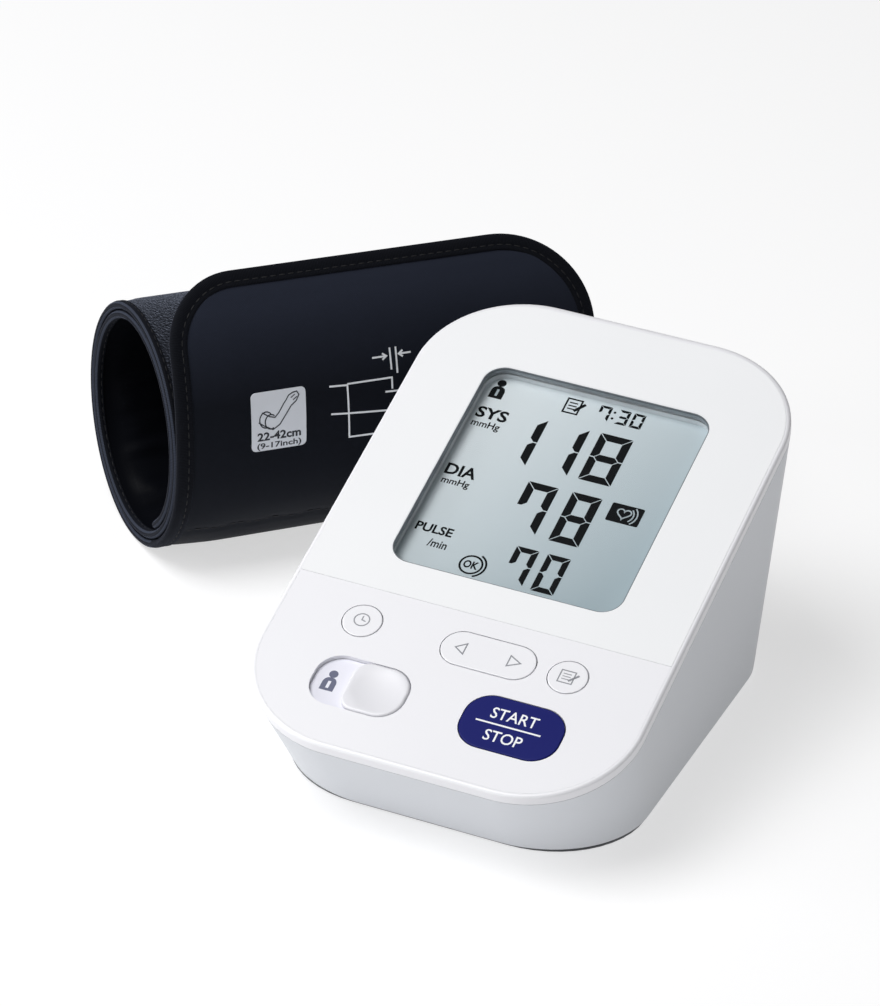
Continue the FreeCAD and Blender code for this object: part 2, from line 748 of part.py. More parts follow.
def make_battery_box():
    half = BAY_LEN / 2
    side = half + BOX_WALL
    outer = block(-side, side, BAY_FRONT - BOX_WALL, BAY_BACK + BOX_WALL, FLOOR_TOP, BOX_TOP)
    inner = block(-half, half, BAY_FRONT, BAY_BACK, 0, BAY_CEILING)
    return outer.cut(inner)


def make_battery_cover():
    strip = cover_prism(COVER_GAP, COVER_T)
    y = BASE_BACK - GRIP_FROM_BACK
    grip = block(-GRIP_W / 2, GRIP_W / 2, y, y + GRIP_L, 0, FOOT_H + GRIP_DEEP)
    return strip.common(case_solid()).cut(grip)


def cell_y(index):
    return BAY_FRONT + BAY_END_ROOM + CELL_R + CELL_PITCH * index


def cell_side(index):
    return 1 if index % 2 == 0 else -1


def make_cell(index):
    """One cell with its nub towards the plate end of its row."""
    side = cell_side(index)
    y = cell_y(index)
    nub = side * (BAY_LEN / 2 - BAY_END_ROOM - TAB_T)
    end = nub - side * NUB_L
    back = end - side * CELL_L
    body = rod(CELL_R, V(back, y, CELL_Z), V(end, y, CELL_Z))
    return body.fuse(rod(NUB_R, V(end, y, CELL_Z), V(nub, y, CELL_Z)))


def make_battery_springs():
    springs = []
    for index in range(CELL_COUNT):
        side = cell_side(index)
        y = cell_y(index)
        wall = V(-side * BAY_LEN / 2, y, CELL_Z)
        long = SPRING_L + BAY_END_ROOM
        springs.append(Part.makeCone(SPRING_WIDE_R, SPRING_SLIM_R, long, wall, V(side, 0, 0)))
    return Part.makeCompound(springs)


def make_battery_plates():
    plates = []
    for index in range(CELL_COUNT):
        side = cell_side(index)
        y = cell_y(index)
        x0 = side * BAY_LEN / 2
        x1 = x0 - side * (TAB_T + BAY_END_ROOM)
        half = TAB_W / 2
        low = CELL_Z - half
        plates.append(block(min(x0, x1), max(x0, x1), y - half, y + half, low, low + TAB_W))
    return Part.makeCompound(plates)


def make_pump_motor():
    return rod(MOTOR_R, V(MOTOR_X, PUMP_Y, PUMP_Z), V(MOTOR_X + MOTOR_L, PUMP_Y, PUMP_Z))


def make_pump_head():
    head = rod(HEAD_R, V(HEAD_X, PUMP_Y, PUMP_Z), V(MOTOR_X, PUMP_Y, PUMP_Z))
    nipple = rod(NIPPLE_R, V(HEAD_X - NIPPLE_L, PUMP_Y, PUMP_Z), V(HEAD_X, PUMP_Y, PUMP_Z))
    end = V(HEAD_X + BORE_DEEP, PUMP_Y, PUMP_Z)
    bore = rod(NIPPLE_BORE, V(HEAD_X - NIPPLE_L, PUMP_Y, PUMP_Z), end)
    return head.fuse(nipple).cut(bore)


def make_pump_sleeve():
    half = MOTOR_R + SLEEVE_WALL
    x = MOTOR_X + SLEEVE_IN
    body = block(x, x + SLEEVE_L, PUMP_Y - half, PUMP_Y + half, BOX_TOP, PUMP_Z + half)
    return body.cut(make_pump_motor())


def make_air_manifold():
    x1 = BLOCK_X + BLOCK_W
    y0 = PUMP_Y - BLOCK_D / 2
    middle = BLOCK_X + BLOCK_W / 2
    body = block(BLOCK_X, x1, y0, y0 + BLOCK_D, BOX_TOP, BOX_TOP + BLOCK_H)
    y1 = y0 + BLOCK_D
    right = rod(NIPPLE_R, V(x1, PUMP_Y, PUMP_Z), V(x1 + NIPPLE_L, PUMP_Y, PUMP_Z))
    front = rod(NIPPLE_R, V(middle, y0, PUMP_Z), V(middle, y0 - NIPPLE_L, PUMP_Z))
    rear = rod(NIPPLE_R, V(middle, y1, PUMP_Z), V(middle, y1 + NIPPLE_SHORT, PUMP_Z))
    up, out = slope_place(PUMP_Y, BOX_TOP + BLOCK_H)
    top = rod(NIPPLE_R, V(middle, up, out - NIPPLE_ROOT), V(middle, up, out + NIPPLE_SHORT))
    body = body.fuse([right, front, rear, tilted(top)])
    side = rod(NIPPLE_BORE, V(middle, PUMP_Y, PUMP_Z), V(x1 + NIPPLE_L, PUMP_Y, PUMP_Z))
    through = rod(NIPPLE_BORE, V(middle, y0 - NIPPLE_L, PUMP_Z), V(middle, y1 + NIPPLE_SHORT, PUMP_Z))
    return body.cut([side, through])


def make_release_valve():
    x = BLOCK_X + BLOCK_W / 2 - VALVE_W / 2
    y = PUMP_Y + BLOCK_D / 2 + VALVE_GAP
    body = block(x, x + VALVE_W, y, y + VALVE_D, BOX_TOP, BOX_TOP + BLOCK_H)
    middle = x + VALVE_W / 2
    nipple = rod(NIPPLE_R, V(middle, y, PUMP_Z), V(middle, y - NIPPLE_SHORT, PUMP_Z))
    bore = rod(NIPPLE_BORE, V(middle, y - VALVE_GAP, PUMP_Z), V(middle, y + BORE_DEEP, PUMP_Z))
    return body.fuse(nipple).cut(bore)


SENSOR_UP, BLOCK_OUT = slope_place(PUMP_Y, BOX_TOP + BLOCK_H)
SENSOR_X = BLOCK_X + BLOCK_W / 2
SENSOR_UNDER = BOARD_UNDER - SENSOR_T


def make_pressure_sensor():
    at = (SENSOR_X, SENSOR_UP)
    body = pad(at, SENSOR_SIDE, SENSOR_SIDE, SENSOR_R, SENSOR_UNDER, BOARD_UNDER)
    nipple = rod(NIPPLE_R, V(*at, SENSOR_UNDER - NIPPLE_SHORT), V(*at, SENSOR_UNDER))
    return tilted(body.fuse(nipple))


def pipe(start, end):
    return rod(TUBE_R, start, end).cut(rod(NIPPLE_R, start, end))


def bent_rod(r):
    """Run from the air socket to the right, one bend, then back to the manifold."""
    start = V(JACK_END + JACK_L + TUBE_CLEAR, JACK_Y, PUMP_Z)
    turn = V(SENSOR_X - TUBE_BEND, JACK_Y, PUMP_Z)
    after = V(SENSOR_X, JACK_Y + TUBE_BEND, PUMP_Z)
    end = V(SENSOR_X, PUMP_Y - BLOCK_D / 2 - TUBE_CLEAR, PUMP_Z)
    hub = V(turn.x, after.y, PUMP_Z)
    ring = Part.makeTorus(TUBE_BEND, r, hub, V(0, 0, 1), 0, 360, 90)
    ring.rotate(hub, V(0, 0, 1), -90)
    return rod(r, start, turn).fuse([ring, rod(r, after, end)])


def make_air_tubes():
    x0 = BLOCK_X + BLOCK_W + TUBE_CLEAR
    right = pipe(V(x0, PUMP_Y, PUMP_Z), V(HEAD_X - TUBE_CLEAR, PUMP_Y, PUMP_Z))
    left = bent_rod(TUBE_R).cut(bent_rod(NIPPLE_R))
    y0 = PUMP_Y + BLOCK_D / 2
    far = V(SENSOR_X, y0 + VALVE_GAP - TUBE_CLEAR, PUMP_Z)
    rear = pipe(V(SENSOR_X, y0 + TUBE_CLEAR, PUMP_Z), far)
    low = BLOCK_OUT + TUBE_R * math.tan(TILT) + TUBE_CLEAR
    top = pipe(V(SENSOR_X, SENSOR_UP, low), V(SENSOR_X, SENSOR_UP, SENSOR_UNDER - TUBE_CLEAR))
    return Part.makeCompound([right, left, rear, tilted(top)])


def make_buzzer():
    at = (BOARD_HALF_W - BUZZER_IN, BUZZER_V)
    return tilted(rod(BUZZER_R, V(*at, BOARD_UNDER - BUZZER_T), V(*at, BOARD_UNDER)))


def make_air_jack():
    """Socket in the left side for the cuff's air plug."""
    def along(r, x0, x1):
        return rod(r, V(x0, JACK_Y, PUMP_Z), V(x1, JACK_Y, PUMP_Z))
    end = JACK_END + JACK_L
    body = along(JACK_R, JACK_END, end)
    seat = JACK_END + JACK_OUT + WALL + SEAT_GAP
    flange = along(JACK_FLANGE_R, seat, seat + JACK_FLANGE_T)
    nipple = along(NIPPLE_R, end, end + NIPPLE_L)
    bore = along(JACK_BORE_R, JACK_END, JACK_END + JACK_BORE_L)
    way = along(NIPPLE_BORE, JACK_END, end + NIPPLE_L)
    return body.fuse([flange, nipple]).cut([bore, way])


def make_power_jack():
    """Socket in the back for a power plug."""
    x = POWER_X
    z = POWER_Z
    start = POWER_END - POWER_L
    body = rod(POWER_R, V(x, start, z), V(x, POWER_END, z))
    seat = POWER_END - JACK_OUT - WALL - SEAT_GAP
    side = JACK_FLANGE_R
    flange = block(x - side, x + side, seat - JACK_FLANGE_T, seat, z - side, z + side)
    bore = rod(POWER_BORE_R, V(x, POWER_END - POWER_BORE_L, z), V(x, POWER_END, z))
    return body.fuse(flange).cut(bore)


def cuff_arcs(start_trim, end_trim):
    """Middle line of the wound sleeve from the flap's free end inwards."""
    half = CUFF_PITCH / 2
    arcs = [(CUFF_R - FLAP_R, FLAP_R, FLAP_ANGLE - math.degrees(start_trim / FLAP_R), 0.0)]
    centre = 0.0
    radius = CUFF_R
    angle = 0.0
    for turn in range(4):
        arcs.append((centre, radius, angle, angle - 180.0))
        angle -= 180.0
        if turn % 2 == 0:
            centre = centre - half
        else:
            centre = centre + half
        radius -= half
    tail = TAIL_ANGLE - math.degrees(end_trim / radius)
    arcs.append((centre, radius, angle, angle - tail))
    return arcs


def cuff_point(centre, radius, angle, s):
    """Point of the cuff's own frame: s along its axis, front is minus y."""
    a = math.radians(angle)
    return V(s, -(centre + radius * math.cos(a)), CUFF_Z + radius * math.sin(a))


def arc_line(arcs, offset, s):
    edges = []
    for centre, radius, a0, a1 in arcs:
        r = radius + offset
        ends = [cuff_point(centre, r, a, s) for a in (a0, (a0 + a1) / 2, a1)]
        edges.append(Part.Arc(*ends).toShape())
    first = cuff_point(arcs[0][0], arcs[0][1] + offset, arcs[0][2], s)
    last = cuff_point(arcs[-1][0], arcs[-1][1] + offset, arcs[-1][3], s)
    return edges, first, last


def band(low, high, s0, s1, start_trim=0.0, end_trim=0.0, arcs=None):
    """Wound sheet between two offsets from the middle line."""
    line = cuff_arcs(start_trim, end_trim) if arcs is None else arcs
    outer, outer_first, outer_last = arc_line(line, high, s0)
    inner, inner_first, inner_last = arc_line(line, low, s0)
    edges = outer + [Part.makeLine(outer_last, inner_last)] + inner[::-1]
    edges.append(Part.makeLine(inner_first, outer_first))
    wire = Part.Wire(Part.__sortEdges__(edges))
    return Part.Face(wire).extrude(V(s1 - s0, 0, 0))


def corner_tool(s, side, r, trim):
    """What is taken off one rounded corner of the flap."""
    angle = FLAP_ANGLE - math.degrees(trim / FLAP_R)
    deep = 3 * CUFF_T
    box = block(0, r, 0, r, -deep, deep)
    box = box.cut(rod(r, V(r, r, -2 * deep), V(r, r, 2 * deep)))
    if side > 0:
        box = box.mirror(V(0, 0, 0), V(1, 0, 0))
    # y runs down the flap, z runs out of it
    a = math.radians(angle)
    along = V(0, -math.sin(a), -math.cos(a))
    outward = V(0, -math.cos(a), math.sin(a))
    tip = cuff_point(CUFF_R - FLAP_R, FLAP_R, angle, s)
    m = FreeCAD.Matrix(
        1, 0, 0, tip.x, 0, along.y, outward.y, tip.y, 0, along.z, outward.z, tip.z, 0, 0, 0, 1
    )
    return box.transformGeometry(m)


def rounded_band(low, high, inset):
    """Wound sheet with the flap's corners rounded, set in from the edge."""
    sheet = band(low, high, inset, CUFF_W - inset, inset, inset)
    left = corner_tool(inset, -1, FLAP_CORNER_LEFT - inset, inset)
    right = corner_tool(CUFF_W - inset, 1, FLAP_CORNER_RIGHT - inset, inset)
    return sheet.cut([left, right])


def placed_cuff(shape):
    out = shape.copy()
    out.rotate(V(0, 0, 0), V(0, 0, 1), CUFF_TURN)
    out.translate(V(CUFF_X, CUFF_Y, 0))
    return out


def patch(low, high, s0, s1, a0, a1):
    """Thin patch on the flap."""
    return band(low, high, s0, s1, arcs=[(CUFF_R - FLAP_R, FLAP_R, a1, a0)])


def port_rod(r, out0, out1):
    """Rod through the back of the roll; distances are from the roll's middle."""
    return rod(r, V(PORT_S, out0, CUFF_Z), V(PORT_S, out1, CUFF_Z))


def make_cuff():
    """Edging, cloth, curler, bladder, liner, label, hooks and air port of the cuff."""
    half = CUFF_T / 2
    face0 = half - CLOTH_T
    face1 = face0 - CURLER_T
    face2 = face1 - BLADDER_T
    whole = rounded_band(-half, half, 0)
    field = rounded_band(-half - FIT, half + FIT, EDGING_W)
    stem = port_rod(PORT_R, CUFF_R + face1, CUFF_OUT + PORT_OUT)
    flange = port_rod(PORT_FLANGE_R, CUFF_R, CUFF_OUT + PORT_FLANGE_T)
    flange = flange.cut(whole)
    flange = max(flange.Solids, key=lambda part: part.BoundBox.YMax)
    bore = port_rod(PORT_BORE_R, CUFF_OUT - CLOTH_T, CUFF_OUT + PORT_OUT + FIT)
    hole = port_rod(PORT_R, CUFF_R + face1 - FIT, CUFF_OUT + PORT_OUT)
    inner = EDGING_W + INNER_GAP
    return {
        "cuff_edging": whole.cut(field),
        "cuff_cloth": rounded_band(face0, half, EDGING_W).cut(hole),
        "cuff_curler": rounded_band(face1, face0, inner).cut(hole),
        "cuff_bladder": rounded_band(face2, face1, inner),
        "cuff_liner": rounded_band(-half, face2, EDGING_W),
        "cuff_label": patch(half, half + LABEL_T, LABEL_S, LABEL_S + LABEL_W, *LABEL_ANGLES),
        "cuff_hooks": patch(-half - HOOK_T, -half, HOOK_IN, CUFF_W - HOOK_IN, *HOOK_ANGLES),
        "cuff_port": flange.fuse(stem).cut(bore),
    }


os.makedirs("parts", exist_ok=True)
save(make_lower_case(), "lower_case")
save(make_upper_case(), "upper_case")
save(make_display_panel(), "display_panel")
save(make_key_panel(), "key_panel")
save(make_window_lens(), "window_lens")
save(make_round_key(CLOCK_AT), "clock_button")
save(make_round_key(MEMORY_AT), "memory_button")
save(make_arrow_rocker(), "arrow_rocker")
save(make_start_button(), "start_button")
save(make_user_slider(), "user_slider")
save(make_slider_plate(), "slider_plate")
save(make_lcd_holder(), "lcd_holder")
save(make_lcd_glass(), "lcd_glass")
save(make_contact_strips(), "contact_strips")
save(make_main_board(), "main_board")
save(make_board_screws(), "board_screws")
save(make_key_switches(), "key_switches")
save(make_slide_switch(), "slide_switch")
save(make_case_screws(), "case_screws")
save(make_rubber_feet(), "rubber_feet")
save(make_battery_box(), "battery_box")
save(make_battery_cover(), "battery_cover")
for number in range(CELL_COUNT):
    save(make_cell(number), "cell_" + str(number + 1))
save(make_battery_springs(), "battery_springs")
save(make_battery_plates(), "battery_plates")
save(make_pump_motor(), "pump_motor")
save(make_pump_head(), "pump_head")
save(make_pump_sleeve(), "pump_sleeve")
save(make_air_manifold(), "air_manifold")
save(make_release_valve(), "release_valve")
save(make_pressure_sensor(), "pressure_sensor")
save(make_air_tubes(), "air_tubes")
save(make_buzzer(), "buzzer")
save(make_air_jack(), "air_jack")
save(make_power_jack(), "power_jack")
for node, solid in make_cuff().items():
    save(placed_cuff(solid), node)
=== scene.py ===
import json
from math import cos, hypot, pi, radians, sin, sqrt

import bmesh
import bpy
from mathutils import Matrix, Vector, noise

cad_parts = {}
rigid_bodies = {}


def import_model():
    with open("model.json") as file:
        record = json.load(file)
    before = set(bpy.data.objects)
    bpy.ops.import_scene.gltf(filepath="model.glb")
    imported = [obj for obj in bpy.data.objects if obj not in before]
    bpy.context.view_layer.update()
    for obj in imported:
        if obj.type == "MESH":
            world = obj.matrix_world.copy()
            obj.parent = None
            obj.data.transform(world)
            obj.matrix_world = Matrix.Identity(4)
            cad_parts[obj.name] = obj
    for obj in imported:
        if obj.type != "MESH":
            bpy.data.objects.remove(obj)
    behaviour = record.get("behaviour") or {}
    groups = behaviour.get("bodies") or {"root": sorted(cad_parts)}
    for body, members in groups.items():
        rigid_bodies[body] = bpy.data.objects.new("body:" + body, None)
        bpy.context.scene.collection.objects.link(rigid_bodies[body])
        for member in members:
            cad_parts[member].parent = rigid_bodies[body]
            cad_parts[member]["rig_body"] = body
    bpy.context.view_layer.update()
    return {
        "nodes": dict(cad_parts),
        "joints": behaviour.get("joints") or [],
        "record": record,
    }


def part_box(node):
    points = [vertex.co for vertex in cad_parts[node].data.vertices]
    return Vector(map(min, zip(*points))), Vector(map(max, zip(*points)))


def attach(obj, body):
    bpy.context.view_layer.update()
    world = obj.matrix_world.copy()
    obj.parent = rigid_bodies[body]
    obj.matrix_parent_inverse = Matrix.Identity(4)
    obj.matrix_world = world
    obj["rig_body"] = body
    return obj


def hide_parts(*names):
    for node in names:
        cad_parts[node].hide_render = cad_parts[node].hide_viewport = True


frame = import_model()
nodes = frame["nodes"]


# Lower case and battery cover. A deep tub moulded in white ABS, its walls drawn in towards the base, and
# the cover over the cells, which slides out to the back. The tool leaves a fine satin grain on both, so
# that they show broad soft highlights and no mirror image. Their white is painted as a light grey, darker
# than the upper case's, which is painted shade on the tub's walls.
def linear(code):
    """sRGB hex colour as linear values with full cover."""
    parts = [int(code[i:i + 2], 16) / 255 for i in (1, 3, 5)]
    return [c / 12.92 if c <= 0.04045 else ((c + 0.055) / 1.055) ** 2.4 for c in parts] + [1.0]


def add(tree, kind, inputs=None, take=None, **settings):
    """One node with its settings, values and links; take is the output that is wanted of it."""
    made = tree.nodes.new(kind)
    for key, value in settings.items():
        setattr(made, key, value)
    for key, value in (inputs or {}).items():
        if isinstance(value, bpy.types.NodeSocket):
            tree.links.new(value, made.inputs[key])
        else:
            made.inputs[key].default_value = value
    return made if take is None else made.outputs[take]


def finish(name, values):
    """A new material with the plain values set on its shader."""
    made = bpy.data.materials.new(name)
    made.use_nodes = True
    tree = made.node_tree
    tree.nodes.clear()
    shader = add(tree, "ShaderNodeBsdfPrincipled", values, 0)
    add(tree, "ShaderNodeOutputMaterial", {"Surface": shader})
    return made


def patterned(name, values, *clouds):
    """A new material, the place on the piece, and a cloudy pattern for each size in mm and detail."""
    made = finish(name, values)
    place = add(made.node_tree, "ShaderNodeTexCoord", take="Object")
    patterns = []
    for size_mm, detail in clouds:
        cloud = {"Vector": place, "Scale": 1000 / size_mm, "Detail": detail}
        patterns.append(add(made.node_tree, "ShaderNodeTexNoise", cloud, 0))
    return made, place, *patterns


def dress(made, gloss, tones=None, relief=None, **links):
    """Links patterns to the shader: its roughness between two values, its colour between two tones, and
    its relief with a strength and a depth in metres."""
    tree = made.node_tree
    pattern, low, high = gloss
    links["Roughness"] = add(tree, "ShaderNodeMapRange", {0: pattern, 3: low, 4: high}, 0)
    if tones:
        pattern, first, second = tones
        blend = {0: pattern, 6: first, 7: second}
        links["Base Color"] = add(tree, "ShaderNodeMix", blend, 2, data_type="RGBA")
    if relief:
        height, strength, depth = relief
        bump = {"Height": height, "Strength": strength, "Distance": depth}
        links["Normal"] = add(tree, "ShaderNodeBump", bump, 0)
    for name, socket in links.items():
        tree.links.new(socket, tree.nodes["Principled BSDF"].inputs[name])
    return made


def moulded(name, light, dark, grain_mm, rough, relief=0.05, **values):
    """Moulded plastic or rubber: the tool's grain in the surface, and cloudy colour and gloss."""
    cloud_mm = 40.0
    made, _, cloud, grain = patterned(name, {"IOR": 1.53, **values}, (cloud_mm, 2.0), (grain_mm, 3.0))
    return dress(
        made, gloss=(cloud, rough - 0.05, rough + 0.05), tones=(cloud, linear(dark), linear(light)),
        relief=(grain, relief, 0.0001),
    )


def link(name, data):
    piece = bpy.data.objects.new(name, data)
    bpy.context.scene.collection.objects.link(piece)
    return piece


def piece_of(shape, name):
    data = bpy.data.meshes.new(name)
    shape.to_mesh(data)
    shape.free()
    return link(name, data)


def plain_mesh(piece):
    """What the piece shows with its modifiers, as a plain mesh."""
    seen = piece.evaluated_get(bpy.context.evaluated_depsgraph_get())
    return bpy.data.meshes.new_from_object(seen)


def settle(piece):
    """Keeps what the modifiers make as the piece's own mesh."""
    shown = plain_mesh(piece)
    piece.modifiers.clear()
    piece.data = shown


def hold(piece, made, body):
    piece.data.materials.clear()
    piece.data.materials.append(made)
    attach(piece, body)


def welded(name):
    """The loose facets of a node as one joined shape."""
    shape = bmesh.new()
    shape.from_mesh(nodes[name].data)
    bmesh.ops.remove_doubles(shape, verts=shape.verts, dist=1e-6)
    return shape


def skin(name, made):
    """The solid as one joined mesh with smooth rounds, in place of its loose facets."""
    sharp_from = radians(32.0)
    shape = welded(name)
    for edge in shape.edges:
        edge.smooth = len(edge.link_faces) == 2 and edge.calc_face_angle(pi) < sharp_from
    for face in shape.faces:
        face.smooth = True
    piece = piece_of(shape, name + "_skin")
    piece.modifiers.new("even_rounds", "WEIGHTED_NORMAL").keep_sharp = True
    settle(piece)
    hold(piece, made, nodes[name]["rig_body"])
    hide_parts(name)


# Painted shade: the white ABS is given a light grey, darker than the upper case's white, so that the tub's
# walls look shaded.
shaded_case_white = moulded("white_abs_satin_painted_shade", "#D1D4D9", "#CCCFD5", 0.4, 0.42)
skin("lower_case", shaded_case_white)
skin("battery_cover", shaded_case_white)


# Feet. Four black rubber discs, moulded with a matt face and glued into the base, so that the light
# monitor doesn't slide when a key is pressed.
skin("rubber_feet", moulded("foot_rubber", "#2B2C2E", "#222325", 0.25, 0.75, 0.15))


# Screws. Four long steel screws go up through the base into the upper case, and five short ones hold the
# board. They have a pan head with a cross recess, and their zinc plating gives a mottled, soft metal gleam.
MOTTLE_MM = 1.2
screw_steel, _, mottle = patterned("zinc_plated_steel", {"Metallic": 1.0}, (MOTTLE_MM, 3.0))
dress(
    screw_steel, gloss=(mottle, 0.22, 0.4), tones=(mottle, linear("#A3A6A8"), linear("#C9CCCE")),
    relief=(mottle, 0.08, 0.0001),
)


def loose_solids(name):
    """The separate solids of a node, each as the list of its points."""
    shape = welded(name)
    seen = set()
    found = []
    for start in shape.verts:
        front = [] if start in seen else [start]
        seen.add(start)
        group = []
        while front:
            corner = front.pop()
            group.append(corner.co.copy())
            fresh = [edge.other_vert(corner) for edge in corner.link_edges]
            fresh = [other for other in fresh if other not in seen]
            seen.update(fresh)
            front += fresh
        if group:
            found.append(group)
    shape.free()
    return found


def fill_between(shape, rings):
    """Fills the flat space between an outer and an inner ring of points."""
    edges = [shape.edges.new((ring[i - 1], ring[i])) for ring in rings for i in range(len(ring))]
    bmesh.ops.triangle_fill(shape, use_beauty=True, edges=edges)


def bridge(shape, above, below):
    for i in range(len(above)):
        shape.faces.new((above[i - 1], above[i], below[i], below[i - 1]))


def cross_screw(head_r, head_h, shank_r, length):
    """A pan head screw with a cross recess, its head's top at the origin and its shank down the z axis."""
    flat, taper = 0.8, 0.8
    arm, width, depth = head_r * 0.55, head_r * 0.14, head_h * 0.6
    rim = [(head_r * flat * cos(i * pi / 8), head_r * flat * sin(i * pi / 8)) for i in range(16)]
    quarter = [(arm, -width), (arm, width), (width, width)]
    cross = []
    for i in range(4):
        cross += quarter
        quarter = [(-y, x) for x, y in quarter]
    shape = bmesh.new()
    above, recess = [[shape.verts.new((x, y, 0)) for x, y in ring] for ring in (rim, cross)]
    fill_between(shape, (above, recess))
    sunk = [shape.verts.new((x * taper, y * taper, -depth)) for x, y in cross]
    bridge(shape, recess, sunk)
    shape.faces.new(sunk)
    for radius, level in ((1.0, 0.35), (1.0, 1.0), (shank_r / head_r, 1.0)):
        below = [shape.verts.new((x * radius / flat, y * radius / flat, -head_h * level)) for x, y in rim]
        bridge(shape, above, below)
        above = below
    tip = [shape.verts.new((v.co.x, v.co.y, -length)) for v in above]
    bridge(shape, above, tip)
    shape.faces.new(tip)
    bmesh.ops.recalc_face_normals(shape, faces=shape.faces)
    return piece_of(shape, "screw_shape")


def open_tree(name, sockets):
    """A new node tree: the tree, the identifiers of its named inputs, and the inputs themselves."""
    tree = bpy.data.node_groups.new(name, "GeometryNodeTree")
    ports = {}
    for label, kind in sockets.items():
        socket = tree.interface.new_socket(name=label, in_out="INPUT", socket_type="NodeSocket" + kind)
        ports[label] = socket.identifier
    tree.interface.new_socket(name="Copies", in_out="OUTPUT", socket_type="NodeSocketGeometry")
    return tree, ports, add(tree, "NodeGroupInput").outputs


def close_tree(tree, copies, made):
    """The copies made real and given their finish, as the tree's result."""
    real = add(tree, "GeometryNodeRealizeInstances", {0: copies}, 0)
    dressed = add(tree, "GeometryNodeSetMaterial", {"Geometry": real, "Material": made}, 0)
    add(tree, "NodeGroupOutput", {0: dressed})


def grow(piece, tree, ports, **inputs):
    """Runs the tree on the piece and keeps the result as its mesh."""
    grown = piece.modifiers.new("grown", "NODES")
    grown.node_group = tree
    for label, value in inputs.items():
        grown[ports[label]] = value
    settle(piece)


def copies_tree():
    """Nodes that set a copy of a shape on each point, turned so that its z axis follows the point's aim."""
    tree, ports, given = open_tree("copies_on_points", {
        "Points": "Geometry", "Shape": "Object", "Finish": "Material", "Size": "Float", "Swing": "Float",
        "Seed": "Int",
    })
    shape = add(tree, "GeometryNodeObjectInfo", {"Object": given["Shape"]}, "Geometry")
    aim = add(
        tree, "GeometryNodeInputNamedAttribute", {"Name": "aim"}, "Attribute", data_type="FLOAT_VECTOR",
    )
    stood = add(tree, "FunctionNodeAlignRotationToVector", {"Vector": aim}, 0, axis="Z")
    lowest, highest = 2, 3
    swing = add(
        tree, "FunctionNodeRandomValue", {lowest: -1.0, highest: 1.0, "Seed": given["Seed"]}, 1,
        data_type="FLOAT",
    )
    angle = add(tree, "ShaderNodeMath", {0: swing, 1: given["Swing"]}, 0, operation="MULTIPLY")
    about = add(tree, "FunctionNodeAxisAngleToRotation", {"Axis": (0, 0, 1), "Angle": angle}, 0)
    turned = add(tree, "FunctionNodeRotateRotation", {0: stood, 1: about}, 0, rotation_space="LOCAL")
    copies = add(tree, "GeometryNodeInstanceOnPoints", {
        "Points": given["Points"], "Instance": shape, "Rotation": turned, "Scale": given["Size"],
    }, 0)
    close_tree(tree, copies, given["Finish"])
    return tree, ports


copies_on_points, copy_ports = copies_tree()


def set_on_points(name, shape, spots, aims, made, swing, seed):
    """One plain mesh with a copy of the shape at each spot."""
    data = bpy.data.meshes.new(name)
    data.from_pydata(spots, [], [])
    aim = data.attributes.new("aim", "FLOAT_VECTOR", "POINT")
    aim.data.foreach_set("vector", [c for a in aims for c in a])
    piece = link(name, data)
    grow(piece, copies_on_points, copy_ports, Shape=shape, Finish=made, Size=1.0, Swing=swing, Seed=seed)
    bpy.data.objects.remove(shape)
    return piece


def screws(node, head_r, head_h, shank_r, aim):
    """The node's screws, heads where the solids have theirs."""
    solids = loose_solids(node)
    reach = [[p.dot(aim) for p in group] for group in solids]
    length = max(reach[0]) - min(reach[0])
    spots = []
    for group, along in zip(solids, reach):
        centre = sum(group, Vector()) / len(group)
        spots.append(centre + aim * (max(along) - centre.dot(aim)))
    shape = cross_screw(head_r, head_h, shank_r, length)
    aims = [aim] * len(spots)
    piece = set_on_points(node + "_set", shape, spots, aims, screw_steel, swing=1.0, seed=4)
    hold(piece, screw_steel, "case")
    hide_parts(node)


press = next(joint for joint in frame["joints"] if joint["name"] == "clock_press")["axis"]
slope_out = -Vector(press)
screws("case_screws", head_r=0.0027, head_h=0.0018, shank_r=0.0014, aim=Vector((0, 0, -1)))
screws("board_screws", head_r=0.0024, head_h=0.0015, shank_r=0.001, aim=slope_out)


# Battery bay. Four AA cells lie in a moulded box, between coil springs and flat plates of plated steel.
# Their sleeves are shrunk plastic film in two colours, with the steel can bare at both ends.
def cell_sleeve(name, foot, top):
    """Film and bare steel in bands along the cell, as a smooth sheen with a slight ripple."""
    ripple_mm = 2.5
    made, place, ripple = patterned(name, {"IOR": 1.5}, (ripple_mm, 2.0))
    tree = made.node_tree
    along = add(tree, "ShaderNodeSeparateXYZ", {0: place}, 0)
    share = add(tree, "ShaderNodeMapRange", {0: along, 1: foot, 2: top}, 0)
    steel, black, copper = linear("#B9BCBF"), linear("#23272B"), linear("#C47A35")
    bare, covered = (1, 1, 1, 1), (0, 0, 0, 1)
    bands = {
        "Base Color": ((0.0, steel), (0.02, black), (0.62, copper), (0.945, steel)),
        "Metallic": ((0.0, bare), (0.02, covered), (0.945, bare)),
    }
    for socket, starts in bands.items():
        ramp = add(tree, "ShaderNodeValToRGB", {0: share})
        ramp.color_ramp.interpolation = "CONSTANT"
        stops = ramp.color_ramp.elements
        for stop, (position, colour) in zip(stops, starts[:2]):
            stop.position = position
            stop.color = colour
        for position, colour in starts[2:]:
            stops.new(position).color = colour
        bands[socket] = ramp.outputs[0]
    return dress(made, gloss=(ripple, 0.25, 0.38), relief=(ripple, 0.05, 0.0002), **bands)


box_grey = moulded("grey_abs", "#C9CCD1", "#BFC3C8", 0.4, 0.5)
skin("battery_box", box_grey)
for number in (1, 2, 3, 4):
    cell = "cell_%d" % number
    ends = [corner.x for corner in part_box(cell)]
    if number % 2 == 0:
        ends.reverse()
    skin(cell, cell_sleeve("cell_sleeve_%d" % number, *ends))
skin("battery_springs", screw_steel)
skin("battery_plates", screw_steel)


